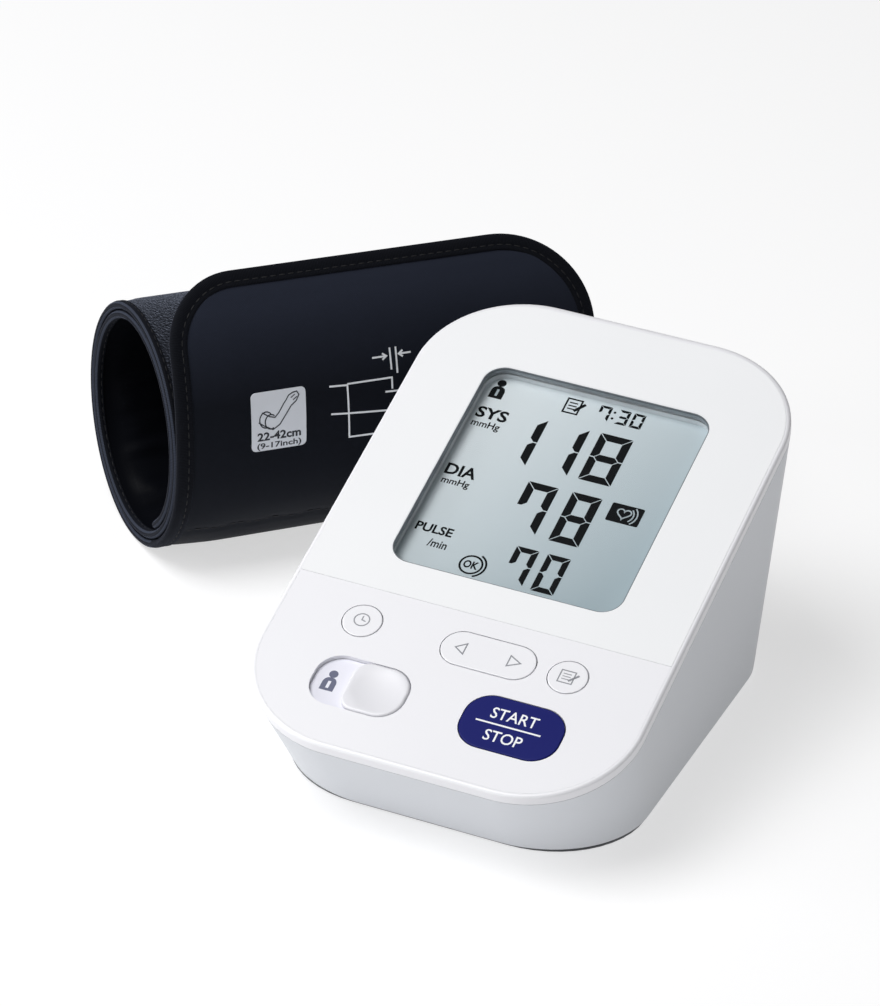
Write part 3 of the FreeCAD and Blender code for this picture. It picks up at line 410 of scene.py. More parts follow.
# Pump and air line. A small motor in a drawn steel can drives a black diaphragm pump, wrapped in soft matt
# rubber so that it doesn't buzz. Short tubes of milky silicone lead to the manifold with its release valve,
# to the sensor and to the cuff's socket; the power socket sits in the back wall.
pump_black = moulded("black_nylon", "#26282C", "#1D1F22", 0.5, 0.45)
silicone = moulded("clear_silicone", "#DFE2E0", "#D2D6D4", 1.5, 0.35, 0.03, **{"Subsurface Weight": 0.2})
for name, made in (
    ("pump_motor", screw_steel), ("pump_head", pump_black),
    ("pump_sleeve", moulded("sleeve_rubber", "#3A3B3D", "#303133", 0.3, 0.8, 0.15)),
    ("air_manifold", box_grey), ("release_valve", pump_black), ("pressure_sensor", pump_black),
    ("air_tubes", silicone), ("air_jack", moulded("socket_grey", "#9A9DA3", "#8F9298", 0.4, 0.45)),
    ("power_jack", pump_black),
):
    skin(name, made)


# Main board. Glass fibre laminate under a green solder mask with copper runs below it, five dome switches,
# the slide switch and a round buzzer on its face.
def board_finish():
    """Satin green mask that rises a little over the copper runs."""
    weave_mm, run_mm, pitch_mm, scale = 0.6, 10.0, 4 / 3, 90.0
    made, place, weave = patterned("green_board_laminate", {"IOR": 1.5}, (weave_mm, 1.0))
    tree = made.node_tree
    runs = add(tree, "ShaderNodeTexBrick", {
        "Vector": place, "Scale": scale, "Mortar Size": 0.05, "Brick Width": scale * run_mm / 1000,
        "Row Height": scale * pitch_mm / 1000,
    }, 1, offset=0.3)
    masks = {0: weave, 6: linear("#12603A"), 7: linear("#17704A")}
    mask = add(tree, "ShaderNodeMix", masks, 2, data_type="RGBA")
    return dress(
        made, gloss=(weave, 0.28, 0.4), tones=(runs, linear("#0E4E30"), mask), relief=(runs, 0.3, 0.0001),
    )


skin("main_board", board_finish())
skin("key_switches", pump_black)
skin("slide_switch", pump_black)
skin("buzzer", pump_black)


# Display. A reflective LCD glass in a white holder, pressed on the board through two rubber contact strips.
# The dark segments, legends and signs lie in the glass; the numbers here are the ones of a sound reading.
FEET_BEHIND, FRONT_HALF, FRONT_H = 0.002, 0.076, 0.02765
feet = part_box("rubber_feet")
middle = Vector(((feet[0].x + feet[1].x) / 2, (feet[0].y + feet[1].y) / 2 + FEET_BEHIND, 0.0))
slope_up = Vector((0, slope_out.z, -slope_out.y))
slope_foot = middle + Vector((0, -FRONT_HALF, FRONT_H))


def on_slope(x, v, n):
    """Place on the sloping top in mm: x right of the middle, v up the slope, n out of it."""
    return slope_foot + Vector((x / 1000, 0, 0)) + slope_up * (v / 1000) + slope_out * (n / 1000)


def lettering(words, left, right, low, high, bold=0.0):
    """Flat letters fitted into a box, as points and faces."""
    curve = bpy.data.curves.new("letters", "FONT")
    curve.body = words
    curve.offset = bold
    curve.resolution_u = 3
    holder = link("letters", curve)
    flat = plain_mesh(holder)
    xs = [v.co.x for v in flat.vertices]
    ys = [v.co.y for v in flat.vertices]
    wide = (right - left) / (max(xs) - min(xs))
    tall = (high - low) / (max(ys) - min(ys))
    points = [((x - min(xs)) * wide + left, (y - min(ys)) * tall + low) for x, y in zip(xs, ys)]
    faces = [tuple(p.vertices) for p in flat.polygons]
    bpy.data.objects.remove(holder)
    bpy.data.meshes.remove(flat)
    return points, faces


def line(path, width, closed=False):
    """A flat line of even width along a path, with mitred corners."""
    count = len(path)
    points = []
    for i, (x, y) in enumerate(path):
        before = path[i - 1] if closed or i else path[i]
        after = path[(i + 1) % count] if closed or i < count - 1 else path[i]
        first = Vector((x - before[0], y - before[1]))
        second = Vector((after[0] - x, after[1] - y))
        first = first.normalized() if first.length else second.normalized()
        second = second.normalized() if second.length else first
        across = Vector((-first.y - second.y, first.x + second.x)).normalized()
        reach = width / 2 / max(0.4, across.dot(Vector((-first.y, first.x))))
        points.append((x + across.x * reach, y + across.y * reach))
        points.append((x - across.x * reach, y - across.y * reach))
    faces = [(2 * i, 2 * i + 1, 2 * i + 3, 2 * i + 2) for i in range(count - 1)]
    if closed:
        faces.append((2 * count - 2, 2 * count - 1, 1, 0))
    return points, faces


def outline(*points):
    """A flat filled shape inside its outline."""
    return list(points), [tuple(range(len(points)))]


def arc(x, y, r, start=0.0, end=360.0, steps=32, tall=1.0):
    """Points on an arc; a whole round leaves out the last one, which is the first again."""
    count = steps + (abs(end - start) < 359)
    turns = [radians(start + (end - start) * i / steps) for i in range(count)]
    return [(x + r * cos(a), y + tall * r * sin(a)) for a in turns]


def rounded(x0, x1, y0, y1, r, steps=6):
    """The outline of a box with round corners."""
    path = []
    centres = ((x1 - r, y1 - r), (x0 + r, y1 - r), (x0 + r, y0 + r), (x1 - r, y0 + r))
    for i, (x, y) in enumerate(centres):
        path += arc(x, y, r, 90 * i, 90 * i + 90, steps)
    return path


def print_on(name, shapes, place, low, high, made, body, step=0.0):
    """Flat shapes as a film between two levels of a surface, cut into steps where it follows a curve."""
    film = bmesh.new()
    for points, faces in shapes:
        corners = [film.verts.new((x, y, 0)) for x, y in points]
        for face in faces:
            film.faces.new([corners[i] for i in face])
    bmesh.ops.remove_doubles(film, verts=film.verts, dist=1e-4)
    bmesh.ops.triangulate(film, faces=film.faces)
    for face in film.faces:
        if face.normal.z < 0:
            face.normal_flip()
    if step:
        heights = [v.co.y for v in film.verts]
        level = min(heights) + step
        while level < max(heights):
            whole = film.verts[:] + film.edges[:] + film.faces[:]
            bmesh.ops.bisect_plane(film, geom=whole, plane_co=(0, level, 0), plane_no=(0, 1, 0))
            level += step
    raised = bmesh.ops.extrude_face_region(film, geom=film.faces[:])["geom"]
    for item in raised:
        if isinstance(item, bmesh.types.BMVert):
            item.co.z = 1.0
    for corner in film.verts:
        corner.co = place(corner.co.x, corner.co.y, high if corner.co.z > 0.5 else low)
    bmesh.ops.recalc_face_normals(film, faces=film.faces)
    piece = piece_of(film, name)
    hold(piece, made, body)
    return piece


def seven_segments(number, x0, x1, y0, y1, w, gap):
    """The lit bars of one number in its box, as filled outlines with slanted ends."""
    lit = {"0": "abcdef", "1": "bc", "3": "abcdg", "7": "abcf", "8": "abcdefg"}[number]
    ym = (y0 + y1) / 2
    h = w / 2
    left, right, low, high = x0 + w, x1 - w, y0 + w, y1 - w
    bars = {
        "a": [(x0 + gap, y1), (x1 - gap, y1), (right - gap, high), (left + gap, high)],
        "b": [(x1, y1 - gap), (x1, ym + gap), (x1 - h, ym + gap), (right, ym + h + gap), (right, high - gap)],
        "c": [(x1, y0 + gap), (right, low + gap), (right, ym - h - gap), (x1 - h, ym - gap), (x1, ym - gap)],
        "d": [(x0 + gap, y0), (left + gap, low), (right - gap, low), (x1 - gap, y0)],
        "e": [(x0, y0 + gap), (x0, ym - gap), (x0 + h, ym - gap), (left, ym - h - gap), (left, low + gap)],
        "f": [(x0, y1 - gap), (left, high - gap), (left, ym + h + gap), (x0 + h, ym + gap), (x0, ym + gap)],
        "g": [
            (x0 + h + gap, ym), (left + gap, ym + h), (right - gap, ym + h),
            (x1 - h - gap, ym), (right - gap, ym - h), (left + gap, ym - h),
        ],
    }
    return [outline(*bars[bar]) for bar in lit]


def heart(x, y, size):
    path = []
    for i in range(32):
        a = i * pi / 16
        rise = 13 * cos(a) - 5 * cos(2 * a) - 2 * cos(3 * a) - cos(4 * a)
        path.append((x + size * sin(a) ** 3, y + size / 16 * rise))
    return path


def person(x, low, high):
    """Head and sloping shoulders."""
    tall = high - low
    wide = tall * 0.28
    chest = low + 0.36 * tall
    head_r = 0.18 * tall
    body = [(x + wide, low)]
    body += arc(x + wide * 0.2, chest, wide * 0.8, 0, 90, 8, 1.25)
    body += arc(x - wide * 0.2, chest, wide * 0.8, 90, 180, 8, 1.25)
    body += [(x - wide, low)]
    return [outline(*body), outline(*arc(x, high - head_r, head_r, -80, 260, 26))]


def note_sheet(x0, x1, y0, y1, w):
    """A written page with a pen across its corner."""
    wide, tall = x1 - x0, y1 - y0
    page = x1 - 0.22 * wide
    lines = [line([(x0, y0), (page, y0), (page, y1), (x0, y1)], w, True)]
    for share in (0.3, 0.52, 0.74):
        y = y0 + share * tall
        lines.append(line([(x0 + 0.15 * wide, y), (x0 + 0.6 * wide, y)], w * 0.8))
    lines.append(line([(x0 + 0.55 * wide, y0 + 0.2 * tall), (x1, y0 + 0.82 * tall)], w * 1.8))
    return lines


def lcd_finish():
    """Silvery grey reflector behind the glass, finely grained, with painted shade: paler towards the top left
    and darker towards the bottom right.
    """
    grain_mm = 0.3
    glass = {"IOR": 1.5, "Specular IOR Level": 0.3}
    made, place, grain = patterned("lcd_reflector", glass, (grain_mm, 2.0))
    tree = made.node_tree
    # Painted shade across the display: from pale at the top left to darker grey at the bottom right.
    start = on_slope(-31, 118, 0)
    path = on_slope(31, 84, 0) - start
    offset = add(tree, "ShaderNodeVectorMath", {0: place, 1: start}, 0, operation="SUBTRACT")
    sides = {0: offset, 1: path / path.length_squared}
    share = add(tree, "ShaderNodeVectorMath", sides, "Value", operation="DOT_PRODUCT")
    painted_shade_fade = {0: share, 6: linear("#EEF7FB"), 7: linear("#AEC0C8")}
    tone = add(tree, "ShaderNodeMix", painted_shade_fade, 2, data_type="RGBA")
    flecks = add(tree, "ShaderNodeMapRange", {0: grain, 4: 0.2}, 0)
    return dress(made, gloss=(grain, 0.35, 0.5), tones=(flecks, tone, linear("#C6D3D8")))


skin("lcd_holder", moulded("white_abs_frame", "#E6E8EB", "#DFE1E5", 0.4, 0.5))
skin("contact_strips", moulded("strip_rubber", "#C4C0CC", "#B8B4C0", 0.3, 0.7, 0.1))
skin("lcd_glass", lcd_finish())
ink = moulded("lcd_dark_segments", "#0B0D10", "#07090B", 0.3, 0.6, 0.02, **{"Specular IOR Level": 0.1})
pale = moulded("lcd_clear_sign", "#B4C2C8", "#AEBCC3", 0.3, 0.45, 0.02)
GLASS = -4.4
PRINT, OVERPRINT = 0.03, 0.05

signs = []
for digit in (
    ("1", -20.6, -11.4, 107.4, 124.5, 2.3), ("1", -8.8, 0.4, 107.5, 124.7, 2.3),
    ("8", 3.5, 12.7, 107.6, 124.8, 2.3), ("7", -8.3, 0.2, 85.6, 102.8, 2.3),
    ("8", 4.1, 12.5, 85.2, 102.9, 2.3), ("7", -2.7, 3.6, 68.2, 80.8, 1.7),
    ("0", 6.0, 12.4, 67.8, 80.8, 1.7),
):
    signs += seven_segments(*digit, gap=0.17)
for number, x0, x1 in (("7", 0.0, 3.3), ("3", 5.3, 8.6), ("0", 9.5, 12.8)):
    signs += seven_segments(number, x0, x1, 129.0, 134.2, 0.8, gap=0.09)
signs += [outline(*arc(4.3, 130.5, 0.38)), outline(*arc(4.3, 132.7, 0.38))]
signs += [lettering(*legend) for legend in (
    ("SYS", -31.1, -22.2, 119.9, 123.9, 0.026), ("mmHg", -30.9, -22.9, 116.0, 119.0, 0.016),
    ("DIA", -31.0, -22.3, 98.4, 102.3, 0.026), ("mmHg", -30.5, -22.7, 94.5, 97.4, 0.016),
    ("PULSE", -30.7, -20.3, 77.8, 80.8, 0.026), ("/min", -25.4, -20.1, 73.4, 76.1, 0.016),
    ("OK", -13.75, -9.65, 69.6, 72.2, 0.03),
)]
signs += [
    line(arc(-11.7, 70.9, 3.0), 0.55, True), line(arc(-11.7, 70.9, 4.0, -65, 65), 0.55),
    outline(*rounded(15.5, 24.5, 96.5, 102.9, 0.5)),
]
signs += person(-28.4, 127.5, 134.4)
signs += note_sheet(-9.3, -4.1, 128.8, 133.8, 0.5)
print_on("lcd_segments", signs, on_slope, GLASS, GLASS + PRINT, ink, "case")
clear = [
    line(heart(19.6, 99.9, 1.9), 0.4, True), line(arc(19.4, 99.7, 2.9, -45, 45, 12), 0.38),
    line(arc(19.4, 99.7, 3.9, -45, 45, 12), 0.38), lettering("1", -28.75, -28.1, 128.4, 130.8, 0.01),
]
print_on(
    "lcd_clear_signs", clear, on_slope, GLASS + PRINT, GLASS + OVERPRINT, pale, "case",
)


# Window. A clear acrylic plate held under the display panel's opening, polished with a faint haze. A ring
# of pale foam under it keeps dust off the display, and a thin grey ring in two tones lines the opening as
# painted shade, darker near the panel's face.
HAZE_MM = 30.0
clear_sheet = {"Base Color": linear("#20262A"), "IOR": 1.49, "Alpha": 0.06}
acrylic, _, haze = patterned("clear_acrylic", clear_sheet, (HAZE_MM, 2.0))
skin("window_lens", dress(acrylic, gloss=(haze, 0.04, 0.1)))
seal_foam = moulded("pale_seal_foam", "#E6EBEE", "#DDE3E7", 0.3, 0.8, 0.1)
seal = [line(rounded(-33.1, 33.1, 62.0, 136.4, 6.9, 10), 1.8, True)]
print_on("window_dust_seal", seal, on_slope, -4.38, -2.82, seal_foam, "case")
painted_shade_ring = [line(rounded(-31.95, 31.95, 63.15, 135.25, 5.85, 10), 0.28, True)]
# Painted shade down the opening's wall: a dark band near the panel's face and a paler band below it.
for name, low, high, light, dark in (
    ("window_lip", -0.6, -0.1, "#636A70", "#596066"),
    ("window_lip_foot", -1.58, -0.6, "#8B9399", "#838B91"),
):
    painted_shade_grey = moulded(name + "_grey", light, dark, 0.3, 0.6)
    print_on(name, painted_shade_ring, on_slope, low, high, painted_shade_grey, "case")


# Upper case and its two panels. The upper shell is moulded in white ABS with a rounded rim; the glossier
# display panel and the key panel are separate mouldings set flush into it, with a crease where they meet.
panel_white = moulded("white_panel_gloss", "#F3F4F6", "#F1F2F4", 0.6, 0.3, 0.02)
key_panel_white = moulded("white_upper_abs", "#F0F0F4", "#EEEEF2", 0.6, 0.36, 0.03)
skin("upper_case", key_panel_white)
skin("display_panel", panel_white)
skin("key_panel", key_panel_white)


# Keys. White caps of ABS nearly flush with the panel, each with a grey printed sign, and the navy START and
# STOP key with white lettering. They stand on the board's dome switches and move a fraction of a millimetre.
# The white caps have a soft satin gloss, and the navy one hardly reflects.
FACE = 0.15
key_white = moulded("white_key_cap", "#F0F0F4", "#EDEDF1", 0.5, 0.36, 0.03)
navy = moulded("navy_key_cap", "#151C6A", "#121862", 0.5, 0.4, 0.03, **{"Specular IOR Level": 0.15})
sign_grey = moulded("grey_key_print", "#8E9096", "#85878D", 0.3, 0.5, 0.02)
sign_white = moulded("white_key_print", "#F4F5F8", "#EDEEF2", 0.3, 0.5, 0.02)


def key(node, cap, sign, shapes, made):
    """A key's cap and the sign printed on its face."""
    skin(node, cap)
    body = nodes[node]["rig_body"]
    print_on(sign, shapes, on_slope, FACE, FACE + PRINT, made, body)


key("clock_button", key_white, "clock_sign", [
    line(arc(-29.3, 41.2, 2.0), 0.32, True), line([(-29.3, 42.5), (-29.3, 41.2), (-28.2, 40.9)], 0.32),
], sign_grey)
key("memory_button", key_white, "memory_sign", note_sheet(25.6, 30.5, 38.5, 42.4, 0.32), sign_grey)
key("arrow_rocker", key_white, "arrow_signs", [
    line([(-3.0, 40.6), (-0.4, 42.5), (-0.4, 38.9)], 0.34, True),
    line([(14.8, 40.7), (11.6, 42.4), (11.6, 38.9)], 0.34, True),
], sign_grey)
key("start_button", navy, "start_stop_lettering", [
    lettering("START", 13.9, 26.4, 22.1, 25.6, 0.008), line([(10.9, 20.45), (28.4, 20.45)], 0.5),
    lettering("STOP", 14.7, 24.8, 15.0, 18.5, 0.008),
], sign_white)


# User switch. A white sliding knob in a shallow slot chooses which of two people's readings are kept. The
# slot's floor is a lavender grey plate, printed with a slate sign where the knob leaves it free.
SLOT_FLOOR = -1.3
slot_grey = moulded("slot_lavender_grey", "#EAEAF4", "#E3E3EE", 0.5, 0.45, 0.03)
slate = moulded("slate_print", "#62667E", "#5A5E76", 0.3, 0.5, 0.02)
skin("slider_plate", slot_grey)
skin("user_slider", moulded("white_knob_abs", "#E7E7EC", "#E4E4E9", 0.5, 0.36, 0.03))
figure = person(-29.5, 17.8, 24.5)
print_on("user_sign", figure, on_slope, SLOT_FLOOR, SLOT_FLOOR + PRINT, slate, "case")
print_on(
    "user_number", [lettering("1", -29.9, -29.1, 18.6, 20.9, 0.01)], on_slope,
    SLOT_FLOOR + PRINT, SLOT_FLOOR + OVERPRINT, slot_grey, "case",
)


# Arm cuff. A sleeve of coated nylon with loop pile on its back part, an air bladder, a springy curler and
# a slick lining inside, all bound round the edge with woven tape. It lies rolled up, its printed flap
# standing free at the front, a little puffed on both sides of the seam across it.
CUFF_W, CUFF_MID_Z = 125.0, 35.0
LEFT_R, RIGHT_R, TAIL_R = 20.0, 28.0, 4.0
SEAM_AT, PUFF_END = 76.4, 150.0
PILE_FROM = SEAM_AT + 70
FLAP_R, FLAP_TURN = 82.9, 38.5
PORT_AT, PORT_OUT, PORT_UP = 0.100, 0.041, 0.035
port = next(mount for mount in frame["record"]["mounts"] if mount["name"] == "cuff_nipple")
behind = Vector(port["axis"])
along = Vector((behind.y, -behind.x, 0))
cuff_foot = Vector(port["pos_m"]) - along * PORT_AT - behind * PORT_OUT - Vector((0, 0, PORT_UP))
# Each turn of the roll: its centre's offset and its radius in mm, and the angles it runs between.
TURNS = [
    (-49.0, FLAP_R, FLAP_TURN, 0.0), (0.0, 33.9, 0.0, -180.0), (-1.3, 32.6, -180.0, -360.0),
    (0.0, 31.3, -360.0, -540.0), (-1.3, 30.0, -540.0, -720.0), (0.0, 28.7, -720.0, -780.0),
]
LENGTHS = [r * radians(a0 - a1) for h, r, a0, a1 in TURNS]
CUFF_L = sum(LENGTHS)
FLAP_L = LENGTHS[0]
BORE_FROM = sum(LENGTHS[:3]) + LENGTHS[3] / 3


def on_cuff(t, s, out):
    """Place on the rolled sleeve in mm: t from the flap's free end, s from its left edge, out from the
    middle layer."""
    number = 0
    while number < len(TURNS) - 1 and t > LENGTHS[number]:
        t -= LENGTHS[number]
        number += 1
    h, r, start, end = TURNS[number]
    a = radians(start) - t / r
    reach = h + (r + out) * cos(a)
    height = max(0.2, CUFF_MID_Z + (r + out) * sin(a))
    return cuff_foot + along * (s / 1000) - behind * (reach / 1000) + Vector((0, 0, height / 1000))


def inset(t, flap_r):
    """How far a side edge is drawn in by the rounded corners at distance t."""
    if t < flap_r:
        return flap_r - sqrt(max(0.0, flap_r ** 2 - (flap_r - t) ** 2))
    if t > CUFF_L - TAIL_R:
        return TAIL_R - sqrt(max(0.0, TAIL_R ** 2 - (t - CUFF_L + TAIL_R) ** 2))
    return 0.0


def ease(value):
    value = min(1.0, max(0.0, value))
    return value * value * (3 - 2 * value)


def from_edge(t, s):
    return min(t, CUFF_L - t, s - inset(t, LEFT_R), CUFF_W - inset(t, RIGHT_R) - s)


def half_thick(d):
    """Half the sleeve's thickness: thin under the tape, full inside it."""
    return 0.8 + 0.3 * ease((d - 4.0) / 3.0)


def seam_sway(s):
    return 0.5 * sin(s * 0.55)


def outside(t, s):
    """How far the outer face stands off the middle layer, puffed and lumpy between the seams."""
    d = from_edge(t, s)
    full = half_thick(d)
    if t < PUFF_END + 20.0:
        full += 0.5 * ease((d - 5.0) / 14.0) * ease(abs(t - SEAM_AT) / 10.0) * ease((PUFF_END - t) / 40.0)
        lumps = 0.22 * noise.noise(Vector((t * 0.045, s * 0.03, 1.7))) * ease((d - 4.0) / 8.0)
        full += lumps * ease((PUFF_END + 10.0 - t) / 40.0)
        full -= 0.4 * (1 - ease(abs(t - SEAM_AT - seam_sway(s)) / 2.0)) * ease((d - 3.0) / 3.0)
    return full


def inside(t, s):
    """How far the lining stands off on the inner side, creased along the bore where nothing presses it."""
    d = from_edge(t, s)
    free = ease((t - BORE_FROM) / 12.0) + ease((FLAP_L - t) / 12.0) * 0.35
    fold = noise.noise(Vector((t * 0.14, s * 0.022, 5.3)))
    fold += 0.5 * noise.noise(Vector((t * 0.3, s * 0.06, 9.1)))
    ridge = max(0.0, 1 - abs(fold) * 2.6)
    crease = 1.3 * ridge + 0.5 * noise.noise(Vector((t * 0.05, s * 0.05, 2.2)))
    return half_thick(d) + free * ease((d - 4.0) / 7.0) * crease


def woven(name, light, dark, thread_mm, rough, relief, sheen, tint, ribs=False, painted_shade_colour=None):
    """Cloth whose threads follow the piece's own map, in two tones, with a soft sheen on the fibres.
    If a painted shade colour is given, it darkens to it away from the flap's free end: painted light at the
    flap's top, painted shade lower down."""
    lit_to, shade_from, wear_mm = 0.010, 0.036, 18.0
    made, _, wear = patterned(name, {
        "Sheen Weight": sheen, "Sheen Roughness": 0.45, "Sheen Tint": linear(tint),
        "Specular IOR Level": 0.04,
    }, (wear_mm, 2.0))
    tree = made.node_tree
    threads = add(tree, "ShaderNodeUVMap", take=0, uv_map="cloth")
    bias = 0 if ribs else radians(45)
    turn = add(tree, "ShaderNodeMapping", {"Vector": threads, "Rotation": (0, 0, bias)}, 0)
    # A wave's bands repeat every 0.314 over its scale. The threads are drawn coarser than real ones, which
    # wouldn't show.
    waves = {"Vector": turn, "Scale": 314 / thread_mm, "Distortion": 0.6, "Detail": 1.0}
    warp = add(tree, "ShaderNodeTexWave", waves, 1, bands_direction="X")
    weft = warp if ribs else add(tree, "ShaderNodeTexWave", waves, 1, bands_direction="Y")
    knit = add(tree, "ShaderNodeMath", {0: warp, 1: weft}, 0, operation="MULTIPLY")
    tones = (knit, linear(dark), linear(light))
    # Painted light and shade: the cloth's own tones near the flap's free end, blended most of the way to the
    # dark colour further along.
    if painted_shade_colour:
        from_end = add(tree, "ShaderNodeSeparateXYZ", {0: threads}, 1)
        share = add(tree, "ShaderNodeMapRange", {0: from_end, 1: lit_to, 2: shade_from, 4: 0.85}, 0)
        lit_tones = add(tree, "ShaderNodeMix", dict(zip((0, 6, 7), tones)), 2, data_type="RGBA")
        tones = (share, lit_tones, linear(painted_shade_colour))
    return dress(
        made, gloss=(wear, rough - 0.06, rough + 0.06), tones=tones, relief=(knit, relief, 0.0002),
    )


def pile(name, light, dark):
    """Loop pile: a close fuzz of loops that hides the ground cloth and catches light from the side."""
    fuzz_mm, nap_mm, loop_mm = 0.5, 9.0, 5 / 7
    made, place, fuzz, nap = patterned(name, {
        "Sheen Weight": 0.7, "Sheen Roughness": 0.45, "Sheen Tint": linear("#A0A8BC"),
        "Specular IOR Level": 0.1,
    }, (fuzz_mm, 4.0), (nap_mm, 3.0))
    tree = made.node_tree
    loops = add(tree, "ShaderNodeTexVoronoi", {"Vector": place, "Scale": 1000 / loop_mm}, "Distance")
    height = add(tree, "ShaderNodeMath", {0: loops, 1: fuzz}, 0, operation="ADD")
    brushed = add(tree, "ShaderNodeMapRange", {0: nap, 3: 0.1, 4: 0.9}, 0)
    return dress(
        made, gloss=(fuzz, 0.85, 1.0), tones=(brushed, linear(dark), linear(light)),
        relief=(height, 1.0, 0.0006),
    )


def cloth_piece(name, points, faces, maps, finishes, cloths):
    """A closed smooth mesh on the cuff, with a place on the cloth's map for each corner of its faces and
    the number of its cloth for each face."""
    data = bpy.data.meshes.new(name)
    data.from_pydata(points, [], faces)
    for corner, place in zip(data.uv_layers.new(name="cloth").data, maps):
        corner.uv = place
    for made in cloths:
        data.materials.append(made)
    shape = bmesh.new()
    shape.from_mesh(data)
    bmesh.ops.recalc_face_normals(shape, faces=shape.faces)
    for face, number in zip(shape.faces, finishes):
        face.smooth = True
        face.material_index = number
    shape.to_mesh(data)
    shape.free()
    piece = link(name, data)
    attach(piece, "cuff")
    return piece


def sleeve(outer, back, inner):
    row_mm, columns, under_tape = 1.45, 84, 0.4
    rows = int(CUFF_L / row_mm)
    points = []
    for face, way in ((outside, 1), (inside, -1)):
        for i in range(rows + 1):
            t = under_tape + (CUFF_L - 2 * under_tape) * i / rows
            left = inset(t, LEFT_R) + under_tape
            right = CUFF_W - inset(t, RIGHT_R) - under_tape
            for j in range(columns + 1):
                s = left + (right - left) * j / columns
                points.append((t, s, face(t, s) * way))
    wide = columns + 1
    half = (rows + 1) * wide
    faces = []
    finishes = []
    for i in range(rows):
        for j in range(columns):
            a = i * wide + j
            faces.append((a, a + 1, a + wide + 1, a + wide))
            faces.append((half + a, half + a + wide, half + a + wide + 1, half + a + 1))
            finishes += [0 if points[a][0] < PILE_FROM else 1, 2]
    rim = list(range(columns)) + [i * wide + columns for i in range(rows)]
    rim += [rows * wide + j for j in range(columns, 0, -1)] + [i * wide for i in range(rows, 0, -1)]
    for a, b in zip(rim, rim[1:] + rim[:1]):
        faces.append((a, half + a, half + b, b))
        finishes.append(0)
    maps = [(points[i][1] / 1000, points[i][0] / 1000) for face in faces for i in face]
    places = [on_cuff(*p) for p in points]
    cloths = (outer, back, inner)
    piece = cloth_piece("cuff_sleeve", places, faces, maps, finishes, cloths)
    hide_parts("cuff_cloth", "cuff_liner", "cuff_bladder", "cuff_curler")


sleeve(
    # The nylon's last colour is the painted shade that it darkens to below the top of the flap.
    woven(
        "navy_black_coated_nylon", "#303442", "#262A35", 0.35, 0.55, 0.12, 0.0, "#7C8BB0", painted_shade_colour="#101217",
    ),
    pile("dark_grey_loop_pile", "#1F2229", "#15171D"),
    woven("slick_black_lining", "#0D0F14", "#090A0E", 0.3, 0.4, 0.08, 0.0, "#8890A0"),
)


# Edging. Woven black tape folded over the sleeve's whole edge and sewn through with one row of lockstitch;
# a second row crosses the front where the bladder's pocket ends. The tape is ribbed and matt; its fold at
# the roll's end is painted greyer, a painted highlight along the edge.
def edge_path(step=2.0):
    """Points round the sleeve's edge, each with the direction in to the cloth."""
    corners = (
        (CUFF_L - TAIL_R, TAIL_R, TAIL_R), (CUFF_L - TAIL_R, CUFF_W - TAIL_R, TAIL_R),
        (RIGHT_R, CUFF_W - RIGHT_R, RIGHT_R), (LEFT_R, LEFT_R, LEFT_R),
    )
    path = []
    for i, (t, s, r) in enumerate(corners):
        turn = radians(90 * i - 90)
        out_t, out_s = cos(turn), sin(turn)
        t0, s0, r0 = corners[i - 1]
        start_t, start_s = t0 + r0 * out_t, s0 + r0 * out_s
        run_t, run_s = t + r * out_t - start_t, s + r * out_s - start_s
        count = int(hypot(run_t, run_s) / step)
        for k in range(1, count):
            path.append((start_t + run_t * k / count, start_s + run_s * k / count, -out_t, -out_s))
        count = max(4, int(r * 0.8))
        for k in range(count + 1):
            a = turn + radians(90 * k / count)
            path.append((t + r * cos(a), s + r * sin(a), -cos(a), -sin(a)))
    return path


# The tape's section in mm: in from the sleeve's edge, and out from the middle layer.
TAPE_FACE = [
    (4.4, 0.8), (4.4, 1.0), (4.1, 1.17), (3.3, 1.14), (2.9, 0.98), (2.5, 1.14), (1.2, 1.2), (0.2, 1.0),
    (-0.3, 0.5),
]
TAPE = TAPE_FACE + [(-0.4, 0.0)] + [(w, -out) for w, out in reversed(TAPE_FACE)]
TAPE += [(0.6, -0.75), (0.6, 0.75)]
SEWN_AT, FOLD_IN = 2.9, 0.6
# From where along the cuff, and on which faces of the tape's section, the fold carries its painted highlight.
SLIM_FROM, HIGHLIGHT_FROM, HIGHLIGHT_SIDES = 88.0, 92.0, (7, 10)


def tape_reach(w, t):
    """Distance in from the edge: the tape is full on the front and slim where the pile runs out to it."""
    slim = 1 - 0.65 * ease((t - SLIM_FROM) / 20.0)
    return min(w, FOLD_IN) + max(0.0, w - FOLD_IN) * slim


